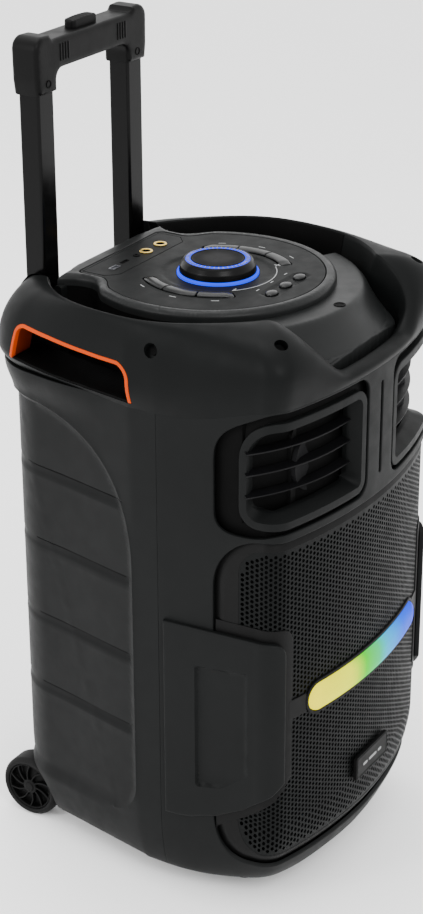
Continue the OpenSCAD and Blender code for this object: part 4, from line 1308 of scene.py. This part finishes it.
# printed marks: plain dashes, a thin arc, a minus and a plus
marks = []
for i in range(3):
    a = ARC_FROM + ARC_STEP * (i + 0.5)
    line = sector(KNOB, 93, 94.2, a - 2.6, a + 2.6, 0.3)
    marks += [line, mirror(line)]
marks += [rounded(x - 3, x + 3, 136.5, 137.7, 0.3, 3) for x in (-30, 0, 30)]
marks.append(sector(np.array([0.0, 207.0]), 65.6, 66.6, 228, 312, 0.3))
marks.append(rounded(-46, -38, 158.4, 159.7, 0.3, 3))
marks += [rounded(46, 54, 158.4, 159.7, 0.3, 3), rounded(49.35, 50.65, 155, 163, 0.3, 3)]
for i, line in enumerate(marks):
    relief("panel_mark_%d" % (i + 1), [line], flat, PRINT, height=PANEL_Z + 0.16, under=PANEL_Z - 0.4, cell=3,
           r=0)


def port_hole(node, grow):
    low, high = node_box(node)
    return rounded(low[0] - grow, high[0] + grow, low[1] - grow, high[1] + grow, 1.0, 4)


jack_low, jack_high = node_box("mic_jacks")
jack_y = (jack_low[1] + jack_high[1]) / 2
jack_r = (jack_high[1] - jack_low[1]) / 2
jack_x = [jack_low[0] + jack_r, jack_high[0] - jack_r]
aux_low, aux_high = node_box("aux_jack")
aux = (aux_low + aux_high) / 2
relief("connector_face", [shifted(PLATE, 0.5), port_hole("usb_port", 0.2), port_hole("card_slot", 0.2),
                          ellipse(aux[0], aux[1], 4.1, 4.1, 32),
                          *[ellipse(x, jack_y, 6.2, 6.2, 40) for x in jack_x]],
       flat, PANEL, height=PANEL_Z + 0.1, thick=2.6, cell=5, r=0.4, node="connector_plate")
for i, x in enumerate(jack_x):
    ring = [(6.1, 687), (7.5, 688.2), (7.6, 689.0), (7.2, 689.5), (5.3, 689.5), (4.9, 689.1), (4.8, 687)]
    lathe("jack_ring_%d" % (i + 1), ring, (x, jack_y, 0), GOLD, n=48, caps=False,
          node="mic_jacks" if i == 0 else None)
    lathe("jack_well_%d" % (i + 1), [(4.85, 688.4), (4.4, 678), (0.01, 678)], (x, jack_y, 0), BLACK_AND_SHADE, n=32,
          caps=False)

# ---------------------------------------------------------------- knob
SHELL_PROFILE = rolled([(3, 689.0), (38, 689.0), (42.6, 689.4), (41.6, 696.5), (38.6, 701.4), (36.6, 703.3),
                        (35.7, 703.2), (35.5, 701.9), (30.8, 701.9), (30.5, 701.2), (3, 701.2)], 1.0)
FACE_PROFILE = rolled([(0.01, 701.3), (30.0, 701.3), (30.0, 703.4), (29.2, 704.0), (28.4, 703.9),
                       (27.9, 703.5), (0.01, 703.5)], 0.4)
HALO_PROFILE = rolled([(31.0, 701.8), (35.4, 701.8), (35.4, 703.2), (31.0, 703.3)], 0.3)
FOOT_PROFILE = rolled([(42.9, 686), (45.1, 686), (45.1, 688.6), (44.4, 689.6), (43.2, 689.6),
                       (42.9, 689.0)], 0.5)
for name, profile, look, node in (
        ("knob_shell", SHELL_PROFILE, KNOB_GLOSS, "knob_body"), ("knob_face", FACE_PROFILE, DISC, "knob_disc"),
        ("knob_halo", HALO_PROFILE, BLUE, "knob_glow_ring")):
    fixed(lathe(name, profile, (*KNOB, 0), look, n=128, body="knob", node=node))
TICKS = 44
verts, faces = [], []
for k in range(TICKS):
    a = math.tau * k / TICKS
    out = np.array([math.cos(a), math.sin(a)])
    side = np.array([-out[1], out[0]])
    base = len(verts)
    for r, w, z in ((31.1, 0.55, 703.2), (35.3, 0.65, 703.2), (31.6, 0.4, 703.9), (34.8, 0.5, 703.9)):
        for e in (-1, 1):
            p = KNOB + out * r + side * e * w
            verts.append((p[0], p[1], z))
    faces += [tuple(base + i for i in f) for f in ((0, 2, 3, 1), (4, 5, 7, 6), (0, 1, 5, 4), (2, 6, 7, 3),
                                                   (0, 4, 6, 2), (1, 3, 7, 5))]
make("knob_ticks", verts, faces, STEEL, body="knob")
fixed(lathe("knob_foot_light", FOOT_PROFILE, (*KNOB, 0), BLUE, n=128, node="knob_light"))

# ---------------------------------------------------------------- handle
tube_low, tube_high = node_box("handle_tubes")
TUBE_Y = (tube_low[1] + tube_high[1]) / 2
TUBE_HALF = 12.5
TUBE_X = tube_high[0] - TUBE_HALF


def square(x, y, half, r):
    return rounded(x - half - 1.8, x + half + 1.8, y - half - 0.6, y + half + 0.6, r, 6)


for side, name in SIDES:
    x = side * TUBE_X
    rows = [np.column_stack([square(x, TUBE_Y, TUBE_HALF, 3.2), np.full(28, z)]) for z in
            (tube_low[2], tube_low[2] + 1, 560, 640, 700, 760, 820, 880, tube_high[2] - 1)]
    fixed(loft("handle_tube_" + name, rows, TUBE, body="handle", node="handle_tubes" if side > 0 else None))
    relief("tube_collar_" + name, [square(x, TUBE_Y, 15.2, 4), square(x, TUBE_Y, 12.8, 3.2)], flat, BLACK,
           height=656, under=600, cell=5, r=1.2, node="handle_sleeves" if side > 0 else None)

grip_low, grip_high = node_box("handle_grip")
GRIP_EXTRA = 4.0
gx, gz0, gz1 = grip_high[0], grip_low[2], grip_high[2] + GRIP_EXTRA
grip_half = np.vstack([
    [(0, gz1 - 6), (gx - 33, gz1 - 6), (gx - 30.5, gz1 - 5), (gx - 27, gz1 - 0.6)],
    arc(gx - 14, gz1 - 14, 14, 90, 0, 8), [(gx - 0.5, gz0 + 16), (gx - 3, gz0), (gx - 37, gz0)],
    arc(gx - 49, gz0 + 11, 12, 0, 90, 8), [(0, gz0 + 23)]])
grip_loop = np.vstack([grip_half, mirror(grip_half[1:-1])])
relief("grip_body", [grip_loop], facing_front(grip_low[1]), GRIP, height=0, under=-34, cell=6, r=5, both=True,
       body="handle", node="handle_grip")
for side, name in SIDES:
    for k in range(4):
        x = side * (gx - 58 + 4.8 * k)
        relief("grip_ridge_%s_%d" % (name, k + 1), [rounded(x - 1.2, x + 1.2, gz0 + 31, gz0 + 50, 1.1, 5)],
               facing_front(grip_low[1]), GRIP, height=0.9, under=-1, cell=5, r=0.8, body="handle")
    x = side * (gx - 20)
    lathe("grip_screw_" + name, [(4.4, 0), (4.3, -0.6), (3.2, -0.5), (3.0, 1.0), (0.01, 1.2)],
          (x, grip_low[1], gz0 + 11), BLACK_AND_SHADE, axis="y", n=32, caps=False, body="handle")


def ribbed(u, v):
    return gz1 + 3.6 + 0.5 * np.clip(np.sin(u * 2.0), -0.2, 1) - 1.2 * (np.abs(u) / 22) ** 2


relief("release_cap", [rounded(-22.8, 22.8, TUBE_Y - 7.4, TUBE_Y + 7.4, 5.5, 10)], flat, GRIP, height=ribbed,
       under=gz1 - 8, cell=0.9, r=1.8, body="release", node="release_button")

# ---------------------------------------------------------------- wheels
WHEEL_R = 38.3
SPOKES = 10
SPOKE_FROM, SPOKE_TO = 8.5, 29.0
wheel_low, wheel_high = node_box("wheel_right")
wheel_y, wheel_z = (wheel_low[1] + wheel_high[1]) / 2, (wheel_low[2] + wheel_high[2]) / 2


for side, name in SIDES:
    x0, x1 = wheel_low[0], wheel_high[0]
    tyre = rolled([(30.4, x1 - 5), (30.4, x1 - 1.5), (32.0, x1), (35.0, x1), (WHEEL_R, x1 - 4),
                   (WHEEL_R, x0 + 4), (35.0, x0), (8, x0), (8, x0 + 2), (28, x0 + 2), (30.4, x1 - 5)], 2.2)
    tyre = [(r, side * h) for r, h in tyre]
    body = name + "_wheel"
    fixed(lathe("tyre_" + name, tyre, (0, wheel_y, wheel_z), RUBBER, axis="x", caps=False, body=body,
                node="wheel_" + name))
    hub = rolled([(0.01, x1 - 0.2), (5.5, x1 - 0.2), (6.2, x1 - 1.6), (9.2, x1 - 1.8), (9.6, x1 - 6.5),
                  (29.9, x1 - 9), (30.3, x1 - 2.2), (28.6, x1 - 1.6), (27.8, x1 - 3.0), (27.6, x1 - 9),
                  (0.01, x1 - 9)], 0.8)
    hub = [(r, side * h) for r, h in hub]
    lathe("hub_" + name, hub, (0, wheel_y, wheel_z), BLACK, axis="x", caps=False, body=body)
    verts, faces = [], []
    for k in range(SPOKES):
        a0 = math.tau * k / SPOKES
        rows = []
        for r in np.linspace(SPOKE_FROM, SPOKE_TO, 8):
            a = a0 + 0.35 * ((r - SPOKE_FROM) / (SPOKE_TO - SPOKE_FROM)) ** 1.3
            c = np.array([math.cos(a), math.sin(a)])
            t = np.array([-c[1], c[0]])
            w = 0.9 + 0.3 * (r / SPOKE_TO)
            for e, h in ((-1, x1 - 6.5), (-1, x1 - 2.6), (-0.6, x1 - 2.1), (0.6, x1 - 2.1), (1, x1 - 2.6),
                         (1, x1 - 6.5)):
                p = c * r + t * e * w
                rows.append((side * h, wheel_y + p[0], wheel_z + p[1]))
        faces += tube_faces(8, 6, len(verts), caps=False)
        verts += rows
    fixed(make("spokes_" + name, verts, faces, BLACK, body=body))

# ---------------------------------------------------------------- rear port
port = rolled([(36.2, 275), (36.2, 385), (37.5, 398), (42, 405.5), (45, 406.6), (46, 406), (46, 404.6),
               (39, 400), (38.4, 275)], 3)
fixed(lathe("bass_flare", port + [port[0]], (0, 0, port_z), BLACK, axis="y", caps=False, node="bass_port"))

# ---------------------------------------------------------------- CAD nodes that stay
STAYING = {
    "baffle": BLACK, "tweeters": CONE, "woofer_frame": BLACK, "woofer_magnet": MAGNET,
    "woofer_surround": RUBBER, "woofer_cone": CONE, "usb_port": STEEL, "card_slot": BLACK_AND_SHADE, "aux_jack": BLACK_AND_SHADE,
    "volume_encoder": STEEL, "release_linkage": STEEL, "lock_pin_left": STEEL, "lock_pin_right": STEEL,
    "axle": STEEL, "front_feet": RUBBER, "battery": WRAP, "amplifier": CIRCUIT, "control_board": CIRCUIT,
    "charge_inlet": BLACK, "case_screws": BLACK_AND_SHADE}
for node_name, material in STAYING.items():
    for material_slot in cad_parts[node_name].material_slots:
        material_slot.material = material

# ---------------------------------------------------------------- floor, light
floor_mesh = bpy.data.meshes.new("floor")
floor_mesh.from_pydata([(-9, -9, 0), (9, -9, 0), (9, 9, 0), (-9, 9, 0)], [], [(0, 1, 2, 3)])
floor = bpy.data.objects.new("floor", floor_mesh)
bpy.context.scene.collection.objects.link(floor)
floor_look = Nodes("studio_floor")
floor_look.set(Base_Color=floor_look.mix(floor_look.noise(3), (0.93, 0.93, 0.93, 1), (0.95, 0.95, 0.95, 1)))
floor_look.bsdf.inputs["Roughness"].default_value = 0.7
floor_mesh.materials.append(floor_look.mat)

world = bpy.data.worlds.new("studio")
bpy.context.scene.world = world
world.use_nodes = True
world.node_tree.nodes["Background"].inputs["Color"].default_value = (1.0, 1.0, 1.0, 1)
world.node_tree.nodes["Background"].inputs["Strength"].default_value = 2.3


def softbox(name, place, target, width, height, power):
    light = bpy.data.lights.new(name, "AREA")
    light.shape = "RECTANGLE"
    light.size = width
    light.size_y = height
    light.energy = power
    obj = bpy.data.objects.new(name, light)
    bpy.context.scene.collection.objects.link(obj)
    obj.location = place
    obj.rotation_euler = (Vector(target) - Vector(place)).to_track_quat("-Z", "Y").to_euler()
    return obj


softbox("key", (-1.6, -2.2, 2.6), (0, 0, 0.4), 1.2, 1.2, 60)
softbox("top", (0.1, 0.4, 3.0), (0, 0, 0.6), 1.4, 1.4, 40)
softbox("side", (-2.8, 1.2, 1.8), (0, 0, 0.4), 0.8, 1.6, 45)
